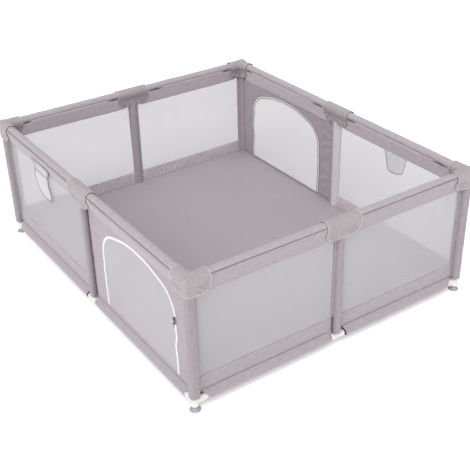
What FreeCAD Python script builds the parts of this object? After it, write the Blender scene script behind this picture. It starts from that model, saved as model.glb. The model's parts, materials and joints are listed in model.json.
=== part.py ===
import FreeCAD, Part
import math
import os
import Sketcher
from FreeCAD import Placement, Rotation, Vector

# A knock-down fabric playpen: a long rectangle of steel tubes in plastic joints, a woven cover
# with mesh windows, padded top rails, two arched zip doors and two hanging mesh pockets.
# Millimetres. The origin is on the floor at the middle of the pen, X runs along the long
# sides, Y along the short sides and Z up. The pen looks the same turned half a turn about Z.

doc = FreeCAD.newDocument("Playpen")

# ---------------------------------------------------------------- driving dimensions

DIMENSIONS = {
    # frame, measured between tube axes
    "span_long": 1740,
    "span_short": 1440,
    "top_rail_height": 607,
    "low_rail_height": 46,
    "tube_radius": 11,
    "tube_wall": 0.6,
    "tube_end": 30,
    "post_foot": 8,
    # plastic joints
    "joint_radius": 15,
    "joint_bore": 11.1,
    "tube_stop": 1,
    "post_stop": 9,
    "top_joint_radius": 14.5,
    "top_joint_reach": 58,
    "top_joint_drop": 46,
    "low_joint_reach": 62,
    "low_joint_rise": 15.5,
    "mid_joint_reach": 34,
    "collar_radius": 16.4,
    "collar_width": 4,
    "boss_radius": 16,
    "boss_bottom": 21,
    "stem_radius": 6,
    "stem_top": 33,
    "stem_fit": 0.1,
    "stem_slack": 0.5,
    # suction cups
    "cup_radius": 24,
    "cup_rim": 1.5,
    "cup_bell_height": 11,
    "cup_neck_radius": 9,
    "cup_hollow_radius": 21.5,
    "cup_hollow_height": 5,
    "cup_hollow_top": 2,
    # padding and covers on the rails and posts
    "fabric_fit": 0.3,
    "pad_radius": 25,
    "pad_start": 60,
    "pad_mid_gap": 42,
    "corner_sleeve_radius": 19,
    "mid_sleeve_radius": 20,
    "sleeve_bottom": 63,
    "sleeve_top": 557,
    "cap_radius": 30,
    "cap_wall": 2.5,
    "cap_arm": 90,
    "cap_mid_half": 88,
    "cap_bottom": 546,
    "cap_hub_radius": 24,
    "cap_skirt_half": 16,
    "cap_skirt_low": 62,
    # woven panels
    "panel_inset": 8,
    "fabric_thickness": 3,
    "mesh_thickness": 1.2,
    "panel_bottom": 72,
    "panel_top": 582,
    "band_top": 142,
    "valance_bottom": 535,
    "side_border": 6,
    "panel_gap": 0.5,
    "web_bottom": 58,
    "overlap": 1,
    "hem_radius": 18,
    "hem_corner_gap": 66,
    "hem_mid_gap": 36,
    # zip doors
    "door_offset": 440,
    "door_half_width": 300,
    "door_sill": 88,
    "door_spring": 355,
    "door_rise": 158,
    "door_corner_radius": 130,
    "zip_outer": 5,
    "zip_inner": 3,
    "zip_thickness": 3.2,
    "leaf_gap": 0.5,
    # zip sliders and their pull tabs
    "slider_offset": 2.2,
    "slider_half_width": 5,
    "slider_length": 14,
    "slider_thickness": 5,
    "slider_clearance": 0.5,
    "slider_start_angle": 3.5,
    "slider_drop": 8.5,
    "bridge_shift": 3.5,
    "bridge_half_width": 2,
    "bridge_half_length": 2.5,
    "bridge_depth": 5,
    "bar_depth": 2.2,
    "bar_radius": 1,
    "eye_radius": 1.1,
    "tab_half_width": 4,
    "tab_inner_half": 2.5,
    "tab_neck": 5,
    "tab_length": 13,
    "tab_half_thickness": 0.6,
    # mesh pockets
    "pocket_offset": 405,
    "pocket_half_width": 100,
    "pocket_top": 583,
    "pocket_mouth": 556,
    "pocket_bottom": 412,
    "pocket_back": 12.5,
    "pocket_depth": 14,
    "pocket_wall": 1.5,
    "tool_clearance": 2,
    # floor
    "floor_bottom": 38,
    "floor_thickness": 4,
    "floor_margin": 18.5,
}

sheet = doc.addObject("Spreadsheet::Sheet", "dims")
for row, (alias, value) in enumerate(DIMENSIONS.items(), start=1):
    sheet.set(f"A{row}", alias)
    sheet.set(f"B{row}", str(value))
    sheet.setAlias(f"B{row}", alias)
doc.recompute()

# Each corner and side has its own local frame: Z up, X along the rail towards the right as seen
# from outside, and Y inwards. TURN is that frame's angle about Z.
TURN = {"front": 0, "right": 90, "back": 180, "left": 270}
LONG_SIDES = ("front", "back")
CORNER_TURN = {"front_left": 0, "front_right": 90, "back_right": 180, "back_left": 270}
ALONG_X = Rotation(Vector(0, 1, 0), 90)
ALONG_Y = Rotation(Vector(1, 0, 0), -90)
UPRIGHT = Rotation()
sub_parts = []


def bind(feature, **formulas):
    """Tie properties of a feature to formulas over the spreadsheet."""
    for name, formula in formulas.items():
        feature.setExpression(name, formula)
    return feature


def move(feature, x="0", y="0", z="0", rotation=UPRIGHT):
    """Give a feature a rotation, and a base that follows the spreadsheet."""
    feature.Placement = Placement(Vector(), rotation)
    feature.setExpression("Placement.Base.x", x)
    feature.setExpression("Placement.Base.y", y)
    feature.setExpression("Placement.Base.z", z)
    return feature


def cylinder(name, radius, length, x="0", y="0", z="0", rotation=UPRIGHT):
    feature = bind(doc.addObject("Part::Cylinder", name), Radius=radius, Height=length)
    return move(feature, x, y, z, rotation)


def box(name, low, high):
    """A box between two corners, each three formulas."""
    feature = doc.addObject("Part::Box", name)
    bind(feature, Length=f"({high[0]}) - ({low[0]})", Width=f"({high[1]}) - ({low[1]})",
         Height=f"({high[2]}) - ({low[2]})")
    return move(feature, *low)


def fuse(name, *pieces):
    feature = doc.addObject("Part::MultiFuse", name)
    feature.Shapes = list(pieces)
    return feature


def cut(name, base, tool):
    feature = doc.addObject("Part::Cut", name)
    feature.Base = base
    feature.Tool = tool
    return feature


def group(name, pieces):
    """Separate solids that share one node."""
    feature = doc.addObject("Part::Compound", name)
    feature.Links = list(pieces)
    return feature


def ring(name, outer, inner, length, x="0", y="0", z="0", rotation=UPRIGHT):
    """A hollow cylinder."""
    return cut(name, cylinder(name + "_outer", outer, length, x, y, z, rotation),
               cylinder(name + "_inner", inner, length, x, y, z, rotation))


def half_span(side):
    return "dims.span_long / 2" if side in LONG_SIDES else "dims.span_short / 2"


def about_z(angle):
    return Rotation(Vector(0, 0, 1), angle)


def at_corner(corner, feature):
    """Place a piece, modelled round its own post, at one corner of the pen."""
    x = "dims.span_long / 2" if "right" in corner else "-dims.span_long / 2"
    y = "dims.span_short / 2" if "back" in corner else "-dims.span_short / 2"
    return move(feature, x, y, "0", about_z(CORNER_TURN[corner]))


def at_side(side, feature):
    """Place a piece, modelled round the foot of its middle post, at one side of the pen."""
    x, y = {"front": ("0", "-dims.span_short / 2"), "right": ("dims.span_long / 2", "0"),
            "back": ("0", "dims.span_short / 2"), "left": ("-dims.span_long / 2", "0")}[side]
    return move(feature, x, y, "0", about_z(TURN[side]))


def sub_part(label, feature):
    """Register a finished and placed piece under the name of its file."""
    feature.Label = label
    sub_parts.append(feature)


# ---------------------------------------------------------------- steel tubes

TUBE = dict(outer="dims.tube_radius", inner="dims.tube_radius - dims.tube_wall")


def post(name):
    length = "dims.top_rail_height - dims.tube_end / 2 - dims.low_rail_height + dims.post_foot"
    return ring(name, length=length, z="dims.low_rail_height - dims.post_foot", **TUBE)


def rail_pair(side, level, height):
    """The two tubes of one rail, butting in the corner and middle joints."""
    start = "dims.tube_end / 2"
    length = f"{half_span(side)} - dims.tube_end"
    pair = []
    for end, x in (("near", start), ("far", f"-{half_span(side)} + dims.tube_end / 2")):
        tube = ring(f"{level}_tube_{side}_{end}", length=length, x=x, z=height,
                    rotation=ALONG_X, **TUBE)
        pair.append(tube)
    return at_side(side, group(f"{level}_tubes_{side}", pair))


for corner in CORNER_TURN:
    sub_part(f"corner_post_{corner}", at_corner(corner, post(f"post_{corner}")))
for side in TURN:
    sub_part(f"mid_post_{side}", at_side(side, post(f"post_{side}")))
for level, height in (("top", "dims.top_rail_height"), ("bottom", "dims.low_rail_height")):
    sub_part(f"{level}_rail_tubes",
             group(f"{level}_rail_tubes", [rail_pair(side, level, height) for side in TURN]))

# ---------------------------------------------------------------- plastic joints


def socket_run(name, radius, start, end, z, rotation):
    """A cylinder from start to end along local X or Y."""
    axis = "x" if rotation is ALONG_X else "y"
    return cylinder(name, radius, f"({end}) - ({start})", z=z, rotation=rotation, **{axis: start})


def collar(name, end, z, rotation):
    return socket_run(name, "dims.collar_radius", f"{end} - dims.collar_width", end, z, rotation)


def low_corner_joint(name):
    """Three sockets and a boss that the suction cup presses into."""
    axis_z = "dims.low_rail_height"
    reach = "dims.low_joint_reach"
    body = fuse(name + "_body",
                cylinder(name + "_hub", "dims.joint_radius",
                         "dims.low_rail_height + dims.low_joint_rise - dims.boss_bottom",
                         z="dims.boss_bottom"),
                cylinder(name + "_boss", "dims.boss_radius", "dims.low_rail_height - dims.boss_bottom",
                         z="dims.boss_bottom"),
                socket_run(name + "_arm_x", "dims.joint_radius", "0", reach, axis_z, ALONG_X),
                socket_run(name + "_arm_y", "dims.joint_radius", "0", reach, axis_z, ALONG_Y),
                collar(name + "_collar_x", reach, axis_z, ALONG_X),
                collar(name + "_collar_y", reach, axis_z, ALONG_Y))
    inner = "dims.tube_end / 2 - dims.tube_stop"
    bores = fuse(name + "_bores",
                 socket_run(name + "_bore_x", "dims.joint_bore", inner, reach, axis_z, ALONG_X),
                 socket_run(name + "_bore_y", "dims.joint_bore", inner, reach, axis_z, ALONG_Y),
                 cylinder(name + "_bore_z", "dims.joint_bore", "dims.low_joint_rise + dims.post_stop",
                          z="dims.low_rail_height - dims.post_stop"),
                 cylinder(name + "_stem_bore", "dims.stem_radius + dims.stem_fit",
                          "dims.stem_top - dims.boss_bottom + dims.stem_slack", z="dims.boss_bottom"))
    return cut(name, body, bores)


def low_mid_joint(name):
    """A straight socket along the rail with a post socket on top."""
    axis_z = "dims.low_rail_height"
    reach = "dims.mid_joint_reach"
    body = fuse(name + "_body",
                cylinder(name + "_hub", "dims.joint_radius", "dims.low_joint_rise", z=axis_z),
                socket_run(name + "_arm", "dims.joint_radius", f"-{reach}", reach, axis_z, ALONG_X),
                collar(name + "_collar_right", reach, axis_z, ALONG_X),
                collar(name + "_collar_left", f"-{reach} + dims.collar_width", axis_z, ALONG_X))
    inner = "dims.tube_end / 2 - dims.tube_stop"
    bores = fuse(name + "_bores",
                 socket_run(name + "_bore_right", "dims.joint_bore", inner, reach, axis_z, ALONG_X),
                 socket_run(name + "_bore_left", "dims.joint_bore", f"-{reach}", f"-({inner})",
                            axis_z, ALONG_X),
                 cylinder(name + "_bore_z", "dims.joint_bore", "dims.low_joint_rise + dims.post_stop",
                          z="dims.low_rail_height - dims.post_stop"))
    return cut(name, body, bores)


def top_joint(name, two_way):
    """The hidden joint in a cap: two rail sockets, square or in line, and a post socket."""
    axis_z = "dims.top_rail_height"
    reach = "dims.top_joint_reach" if two_way else "dims.mid_joint_reach"
    wall = "dims.top_joint_radius"
    inner = "dims.tube_end / 2 - dims.tube_stop"
    drop = "dims.top_joint_drop"
    hub = cylinder(name + "_hub", wall, f"{drop} + {wall}", z=f"{axis_z} - {drop}")
    arms = [socket_run(name + "_arm_x", wall, "0", reach, axis_z, ALONG_X)]
    bores = [socket_run(name + "_bore_x", "dims.joint_bore", inner, reach, axis_z, ALONG_X),
             cylinder(name + "_bore_z", "dims.joint_bore",
                      f"{drop} - dims.tube_end / 2 + dims.tube_stop", z=f"{axis_z} - {drop}")]
    if two_way:
        arms.append(socket_run(name + "_arm_y", wall, "0", reach, axis_z, ALONG_Y))
        bores.append(socket_run(name + "_bore_y", "dims.joint_bore", inner, reach, axis_z, ALONG_Y))
    else:
        arms.append(socket_run(name + "_arm_l", wall, f"-{reach}", "0", axis_z, ALONG_X))
        bores.append(socket_run(name + "_bore_l", "dims.joint_bore", f"-{reach}", f"-({inner})",
                                axis_z, ALONG_X))
    return cut(name, fuse(name + "_body", hub, *arms), fuse(name + "_bores", *bores))


for corner in CORNER_TURN:
    joint = at_corner(corner, low_corner_joint(f"low_joint_{corner}"))
    sub_part(f"bottom_corner_joint_{corner}", joint)
for side in TURN:
    joint = at_side(side, low_mid_joint(f"low_joint_{side}"))
    sub_part(f"bottom_mid_joint_{side}", joint)
sub_part("top_corner_joints", group("top_corner_joints", [
    at_corner(corner, top_joint(f"top_joint_{corner}", True)) for corner in CORNER_TURN]))
sub_part("top_mid_joints", group("top_mid_joints", [
    at_side(side, top_joint(f"top_joint_{side}", False)) for side in TURN]))

# ---------------------------------------------------------------- suction cups


def suction_cup(name):
    """A soft bell that grips the floor, with a stem pressed into the corner joint's boss."""
    bell = bind(doc.addObject("Part::Cone", name + "_bell"), Radius1="dims.cup_radius",
                Radius2="dims.cup_neck_radius", Height="dims.cup_bell_height")
    move(bell, z="dims.cup_rim")
    solid = fuse(name + "_solid",
                 cylinder(name + "_rim", "dims.cup_radius", "dims.cup_rim"),
                 bell,
                 cylinder(name + "_neck", "dims.cup_neck_radius", "dims.boss_bottom"),
                 cylinder(name + "_stem", "dims.stem_radius", "dims.stem_top"))
    hollow = bind(doc.addObject("Part::Cone", name + "_hollow"), Radius1="dims.cup_hollow_radius",
                  Radius2="dims.cup_hollow_top", Height="dims.cup_hollow_height")
    return cut(name, solid, hollow)


for corner in CORNER_TURN:
    sub_part(f"suction_cup_{corner}", at_corner(corner, suction_cup(f"cup_{corner}")))

# ---------------------------------------------------------------- padding and sleeves

SOFT_BORE = "dims.tube_radius + dims.fabric_fit"


def rail_pads(side):
    """Two foam rolls in fabric, one each side of the middle joint."""
    length = f"{half_span(side)} - dims.pad_start - dims.pad_mid_gap"
    starts = {"right": "dims.pad_mid_gap", "left": f"-{half_span(side)} + dims.pad_start"}
    return group(f"rail_pads_{side}", [
        ring(f"rail_pad_{side}_{end}", "dims.pad_radius", SOFT_BORE, length, x=x,
             z="dims.top_rail_height", rotation=ALONG_X) for end, x in starts.items()])


def sleeve(name, radius):
    return ring(name, radius, SOFT_BORE, "dims.sleeve_top - dims.sleeve_bottom",
                z="dims.sleeve_bottom")


for side in TURN:
    sub_part(f"rail_pads_{side}", at_side(side, rail_pads(side)))
sleeves = [at_corner(corner, sleeve(f"sleeve_{corner}", "dims.corner_sleeve_radius"))
           for corner in CORNER_TURN]
sleeves += [at_side(side, sleeve(f"sleeve_{side}", "dims.mid_sleeve_radius")) for side in TURN]
sub_part("post_sleeves", group("post_sleeves", sleeves))

# ---------------------------------------------------------------- caps over the joints


def outline_body(name, corners):
    """A PartDesign body and an empty sketch on its XZ plane, closed through the given corners."""
    body = doc.addObject("PartDesign::Body", name)
    plane = next(f for f in body.Origin.OriginFeatures if f.Role == "XZ_Plane")
    sketch = body.newObject("Sketcher::SketchObject", name + "_outline")
    sketch.AttachmentSupport = [(plane, "")]
    sketch.MapMode = "FlatFace"
    for index, start in enumerate(corners):
        end = corners[(index + 1) % len(corners)]
        sketch.addGeometry(Part.LineSegment(Vector(*start, 0), Vector(*end, 0)))
    return body, sketch


def drive(sketch, label, kind, where, formula):
    """Add one named size to a sketch and tie it to the spreadsheet."""
    number = sketch.addConstraint(Sketcher.Constraint(kind, *where))
    sketch.renameConstraint(number, label)
    sketch.setExpression(f".Constraints.{label}", formula)


def pad(body, sketch, thickness):
    """Pad a sketch by half the thickness to each side of its plane."""
    feature = body.newObject("PartDesign::Pad", body.Name + "_pad")
    feature.Profile = sketch
    feature.Midplane = True
    feature.setExpression("Length", thickness)
    body.Tip = feature
    return body


def skirt(name, reach, half_thickness, beyond, angle):
    """A cap's flap below the rail: deep at the post and shallow at its free end.

    beyond is how far it runs past the flap's free edges, as the tool that hollows a flap does.
    """
    rail = DIMENSIONS["top_rail_height"]
    low = DIMENSIONS["cap_bottom"]
    free = rail - DIMENSIONS["cap_radius"]
    hub = DIMENSIONS["cap_skirt_low"] / 2
    arm = DIMENSIONS["cap_arm"]
    body, sketch = outline_body(name, [(0, low), (hub, low), (arm, free), (arm, rail), (0, rail)])
    for index in range(5):
        following = (index + 1) % 5
        sketch.addConstraint(Sketcher.Constraint("Coincident", index, 2, following, 1))
    sketch.addConstraint(Sketcher.Constraint("Horizontal", 0))
    sketch.addConstraint(Sketcher.Constraint("Vertical", 2))
    sketch.addConstraint(Sketcher.Constraint("Horizontal", 3))
    sketch.addConstraint(Sketcher.Constraint("Vertical", 4))
    sketch.addConstraint(Sketcher.Constraint("PointOnObject", 0, 1, -2))
    drive(sketch, "low", "DistanceY", (-1, 1, 0, 1, low), f"dims.cap_bottom - {beyond}")
    drive(sketch, "hub", "DistanceX", (-1, 1, 0, 2, hub), f"dims.cap_skirt_low / 2 + {beyond}")
    drive(sketch, "arm", "DistanceX", (-1, 1, 1, 2, arm), f"{reach} + {beyond}")
    drive(sketch, "free", "DistanceY", (-1, 1, 1, 2, free),
          f"dims.top_rail_height - dims.cap_radius - {beyond}")
    drive(sketch, "rail", "DistanceY", (-1, 1, 2, 2, rail), "dims.top_rail_height")
    return move(pad(body, sketch, f"2 * ({half_thickness})"), rotation=about_z(angle))


def cap_volume(name, arms, reach, inset, beyond):
    """A cap's outside, or with inset set to its wall the space inside it.

    arms are the angles about Z of the rails that it covers.
    """
    axis_z = "dims.top_rail_height"
    ball = bind(doc.addObject("Part::Sphere", name + "_ball"), Radius=f"dims.cap_radius - {inset}")
    pieces = [move(ball, z=axis_z),
              cylinder(name + "_hub", f"dims.cap_hub_radius - {inset}",
                       f"dims.top_rail_height - dims.cap_bottom + {beyond}",
                       z=f"dims.cap_bottom - {beyond}")]
    for angle in arms:
        roll = cylinder(f"{name}_roll_{angle}", f"dims.cap_radius - {inset}", f"{reach} + {beyond}",
                        z=axis_z, rotation=about_z(angle).multiply(ALONG_X))
        flap = skirt(f"{name}_skirt_{angle}", reach, f"dims.cap_skirt_half - {inset}", beyond, angle)
        pieces += [roll, flap]
    return fuse(name, *pieces)


def cap(name, arms, reach):
    """A sewn cover over a joint: open at the ends of its arms and along its lower edge."""
    return cut(name, cap_volume(name + "_outside", arms, reach, "0", "0"),
               cap_volume(name + "_inside", arms, reach, "dims.cap_wall", "dims.tool_clearance"))


for corner in CORNER_TURN:
    sub_part(f"corner_cap_{corner}",
             at_corner(corner, cap(f"cap_{corner}", (0, 90), "dims.cap_arm")))
for side in TURN:
    sub_part(f"mid_cap_{side}", at_side(side, cap(f"cap_{side}", (0, 180), "dims.cap_mid_half")))

# ---------------------------------------------------------------- arched outlines of the doors


def arch_block(name, offset, thickness, sill):
    """A plate with the door's outline, grown by offset: legs, two corner arcs and a top arc.

    The top arc meets both corner arcs smoothly, which fixes its radius.
    """
    half = DIMENSIONS["door_half_width"]
    corner = DIMENSIONS["door_corner_radius"]
    rise = DIMENSIONS["door_rise"]
    spring = DIMENSIONS["door_spring"]
    bottom = DIMENSIONS["door_sill"]
    below = ((half - corner) ** 2 - (rise - corner) ** 2) / (2 * (rise - corner))
    top_radius = rise + below
    meet = math.atan2(below, half - corner)
    body, sketch = outline_body(name, [])
    centre = Vector(half - corner, spring, 0)
    up = Vector(0, 0, 1)
    sketch.addGeometry(Part.LineSegment(Vector(-half, bottom, 0), Vector(half, bottom, 0)))
    sketch.addGeometry(Part.LineSegment(Vector(half, bottom, 0), Vector(half, spring, 0)))
    sketch.addGeometry(Part.ArcOfCircle(Part.Circle(centre, up, corner), 0, meet))
    sketch.addGeometry(Part.ArcOfCircle(Part.Circle(Vector(0, spring - below, 0), up, top_radius),
                                        meet, math.pi - meet))
    sketch.addGeometry(Part.ArcOfCircle(Part.Circle(Vector(-centre.x, spring, 0), up, corner),
                                        math.pi - meet, math.pi))
    sketch.addGeometry(Part.LineSegment(Vector(-half, spring, 0), Vector(-half, bottom, 0)))
    sketch.addConstraint(Sketcher.Constraint("Coincident", 0, 2, 1, 1))
    sketch.addConstraint(Sketcher.Constraint("Coincident", 5, 2, 0, 1))
    for first in range(1, 5):
        sketch.addConstraint(Sketcher.Constraint("Tangent", first, 2, first + 1, 1))
    sketch.addConstraint(Sketcher.Constraint("Vertical", 1))
    sketch.addConstraint(Sketcher.Constraint("Vertical", 5))
    sketch.addConstraint(Sketcher.Constraint("Symmetric", 0, 1, 0, 2, -2))
    sketch.addConstraint(Sketcher.Constraint("Equal", 2, 4))
    sketch.addConstraint(Sketcher.Constraint("PointOnObject", 3, 3, -2))
    inner = "(dims.door_rise - dims.door_corner_radius)"
    below_formula = f"((dims.door_half_width - dims.door_corner_radius)^2 - {inner}^2) / (2 * {inner})"
    drive(sketch, "width", "DistanceX", (0, 1, 0, 2, 2 * half), f"2 * (dims.door_half_width + {offset})")
    drive(sketch, "sill", "DistanceY", (-1, 1, 0, 1, bottom), sill)
    drive(sketch, "spring", "DistanceY", (-1, 1, 2, 3, spring), "dims.door_spring")
    drive(sketch, "corner", "Radius", (2, corner), f"dims.door_corner_radius + {offset}")
    drive(sketch, "crown", "Radius", (3, top_radius), f"dims.door_rise + {below_formula} + {offset}")
    return move(pad(body, sketch, thickness), x="dims.door_offset", y="dims.panel_inset")


# ---------------------------------------------------------------- woven cover and mesh

PANEL_LOW_Y = "dims.panel_inset - dims.fabric_thickness / 2"
PANEL_HIGH_Y = "dims.panel_inset + dims.fabric_thickness / 2"
PANEL_NEAR_X = "dims.mid_sleeve_radius + dims.panel_gap"


def panel_far_x(side):
    return f"{half_span(side)} - dims.corner_sleeve_radius - dims.panel_gap"


def across(half, near, far):
    """The X formulas of something in the right or left half of a side."""
    return (near, far) if half == "right" else (f"-({far})", f"-({near})")


def window_box(name, side, half, low_y, high_y):
    """The opening between the bands, or with a mesh's thickness the mesh that fills it."""
    x_low, x_high = across(half, f"{PANEL_NEAR_X} + dims.side_border",
                           f"{panel_far_x(side)} - dims.side_border")
    return box(name, (x_low, low_y, "dims.band_top"), (x_high, high_y, "dims.valance_bottom"))


def has_door(side, half):
    return side in LONG_SIDES and half == "right"


def cover_half(side, half):
    """One half of a side's cover: a panel with its opening, and the hem round the low tube."""
    name = f"cover_{side}_{half}"
    x_low, x_high = across(half, PANEL_NEAR_X, panel_far_x(side))
    hem_low, hem_high = across(half, "dims.hem_mid_gap", f"{half_span(side)} - dims.hem_corner_gap")
    panel = box(name + "_panel", (x_low, PANEL_LOW_Y, "dims.panel_bottom"),
                (x_high, PANEL_HIGH_Y, "dims.panel_top"))
    web = box(name + "_web", (hem_low, PANEL_LOW_Y, "dims.web_bottom"),
              (hem_high, PANEL_HIGH_Y, "dims.panel_bottom + dims.overlap"))
    hem = ring(name + "_hem", "dims.hem_radius", SOFT_BORE, f"({hem_high}) - ({hem_low})",
               x=hem_low, z="dims.low_rail_height", rotation=ALONG_X)
    if has_door(side, half):
        opening = arch_block(name + "_doorway", "dims.zip_outer", "4 * dims.fabric_thickness",
                             "dims.door_sill")
    else:
        opening = window_box(name + "_window", side, half, "0", "2 * dims.panel_inset")
    return cut(name, fuse(name + "_cloth", panel, web, hem), opening)


def mesh_panes(side):
    """The meshes sewn into a side's windows."""
    low_y = "dims.panel_inset - dims.mesh_thickness / 2"
    high_y = "dims.panel_inset + dims.mesh_thickness / 2"
    return [window_box(f"mesh_{side}_{half}", side, half, low_y, high_y)
            for half in ("left", "right") if not has_door(side, half)]


for side in TURN:
    halves = [cover_half(side, half) for half in ("left", "right")]
    sub_part(f"cover_{side}", at_side(side, group(f"cover_{side}", halves)))
    sub_part(f"mesh_{side}", at_side(side, group(f"mesh_{side}", mesh_panes(side))))

# ---------------------------------------------------------------- zip doors


def zip_chain(name):
    """Teeth and tape round the arch, open along the sill where the leaf is sewn on."""
    outside = arch_block(name + "_outside", "dims.zip_outer", "dims.zip_thickness", "dims.door_sill")
    inside = arch_block(name + "_inside", "-dims.zip_inner", "2 * dims.zip_thickness",
                        "dims.door_sill - dims.tool_clearance")
    return cut(name, outside, inside)


def door_leaf(name):
    """The mesh flap that the zip frees, a gap inside the chain; it folds out and down."""
    return arch_block(name, "-dims.zip_inner - dims.leaf_gap", "dims.fabric_thickness",
                      "dims.door_sill + dims.leaf_gap")


BAR_Y = "-dims.slider_thickness - dims.bar_depth"


def slider(name, bridge_z):
    """A slider's plate, and the bridge whose eye holds the tab. Its back face is at Y = 0."""
    half = "dims.slider_half_width"
    length = "dims.slider_length / 2"
    plate = box(name + "_plate", (f"-{half}", "-dims.slider_thickness", f"-{length}"),
                (half, "0", length))
    bridge = box(name + "_bridge",
                 ("-dims.bridge_half_width", "-dims.slider_thickness - dims.bridge_depth",
                  f"{bridge_z} - dims.bridge_half_length"),
                 ("dims.bridge_half_width", "-dims.slider_thickness + dims.overlap",
                  f"{bridge_z} + dims.bridge_half_length"))
    eye = cylinder(name + "_eye", "dims.eye_radius", "4 * dims.bridge_half_width",
                   x="-2 * dims.bridge_half_width", y=BAR_Y, z=bridge_z, rotation=ALONG_X)
    return cut(name, fuse(name + "_body", plate, bridge), eye)


def pull_tab(name, bridge_z):
    """A loop that hangs from its bar in the slider's eye."""
    half = "dims.tab_half_width"
    thin = "dims.tab_half_thickness"
    bar = cylinder(name + "_bar", "dims.bar_radius", f"2 * {half}", x=f"-{half}", y=BAR_Y, z=bridge_z,
                   rotation=ALONG_X)
    plate = box(name + "_plate", (f"-{half}", f"{BAR_Y} - {thin}", f"{bridge_z} - dims.tab_length"),
                (half, f"{BAR_Y} + {thin}", f"{bridge_z} - dims.tab_neck"))
    arm_low = f"{bridge_z} - dims.tab_neck - dims.overlap"
    arms = [box(f"{name}_arm_{end}", (low, f"{BAR_Y} - {thin}", arm_low),
                (high, f"{BAR_Y} + {thin}", bridge_z))
            for end, low, high in (("left", f"-{half}", "-dims.tab_inner_half"),
                                   ("right", "dims.tab_inner_half", half))]
    return fuse(name, bar, plate, *arms)


SLIDER_Y = f"{PANEL_LOW_Y} - dims.slider_clearance"
SLIDER_REACH = "dims.door_half_width + dims.slider_offset"
ARC_REACH = "(dims.door_corner_radius + dims.slider_offset)"


def place_slider(which, feature):
    """The lower slider sits on the right leg and the upper one just above, on the corner arc."""
    if which == "lower":
        return move(feature, f"dims.door_offset + {SLIDER_REACH}", SLIDER_Y,
                    "dims.door_spring - dims.slider_drop")
    start = "dims.slider_start_angle"
    tilt = Rotation(Vector(0, 1, 0), -DIMENSIONS["slider_start_angle"])
    arc_x = "dims.door_offset + dims.door_half_width - dims.door_corner_radius"
    return move(feature, f"{arc_x} + {ARC_REACH} * cos({start} * 1 deg)", SLIDER_Y,
                f"dims.door_spring + {ARC_REACH} * sin({start} * 1 deg)", tilt)


for side in LONG_SIDES:
    sub_part(f"zip_chain_{side}", at_side(side, group(f"zip_{side}", [zip_chain(f"chain_{side}")])))
    sub_part(f"door_leaf_{side}", at_side(side, group(f"door_{side}", [door_leaf(f"leaf_{side}")])))
    for which, bridge_z in (("upper", "dims.bridge_shift"), ("lower", "-dims.bridge_shift")):
        for piece, make in (("slider", slider), ("pull_tab", pull_tab)):
            name = f"{which}_{piece}_{side}"
            solid = place_slider(which, make(name + "_solid", bridge_z))
            sub_part(name, at_side(side, group(name + "_group", [solid])))

# ---------------------------------------------------------------- pockets and floor


def pocket(name):
    """A flat mesh pouch, open at the top, with a tall back that hangs from under the rail."""
    x_low = "-dims.pocket_offset - dims.pocket_half_width"
    x_high = "-dims.pocket_offset + dims.pocket_half_width"
    back_y = "-dims.pocket_back"
    front_y = "-dims.pocket_back - dims.pocket_depth"
    wall = "dims.pocket_wall"
    back = box(name + "_back", (x_low, f"{back_y} - {wall}", "dims.pocket_bottom"),
               (x_high, back_y, "dims.pocket_top"))
    pouch = box(name + "_pouch", (x_low, front_y, "dims.pocket_bottom"),
                (x_high, back_y, "dims.pocket_mouth"))
    inside = box(name + "_inside",
                 (f"{x_low} + {wall}", f"{front_y} + {wall}", f"dims.pocket_bottom + {wall}"),
                 (f"{x_high} - {wall}", f"{back_y} - {wall}", "dims.pocket_mouth + dims.tool_clearance"))
    return cut(name, fuse(name + "_cloth", back, pouch), inside)


for side in LONG_SIDES:
    sub_part(f"pocket_{side}", at_side(side, pocket(f"pouch_{side}")))

half_x = "(dims.span_long / 2 - dims.floor_margin)"
half_y = "(dims.span_short / 2 - dims.floor_margin)"
sub_part("floor_mat", box("floor", (f"-{half_x}", f"-{half_y}", "dims.floor_bottom"),
                          (half_x, half_y, "dims.floor_bottom + dims.floor_thickness")))

# ---------------------------------------------------------------- checks and files

doc.recompute()
for feature in doc.Objects:
    if "Invalid" in feature.State or "Error" in feature.State:
        raise RuntimeError(f"{feature.Name} did not recompute: {feature.State}")
for feature in sub_parts:
    if feature.Shape.isNull() or not feature.Shape.isValid() or not feature.Shape.Solids:
        raise RuntimeError(f"{feature.Label} has no valid solid")

os.makedirs("parts", exist_ok=True)
for feature in sub_parts:
    feature.Shape.exportStep(f"parts/{feature.Label}.step")
print(f"{len(sub_parts)} sub-parts, {sum(len(f.Shape.Solids) for f in sub_parts)} solids")
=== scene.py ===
"""A knock-down fabric playpen: the looks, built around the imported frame, in metres."""

import json
import math

import bmesh
import bpy
import numpy as np
from mathutils import Matrix, Vector


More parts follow.
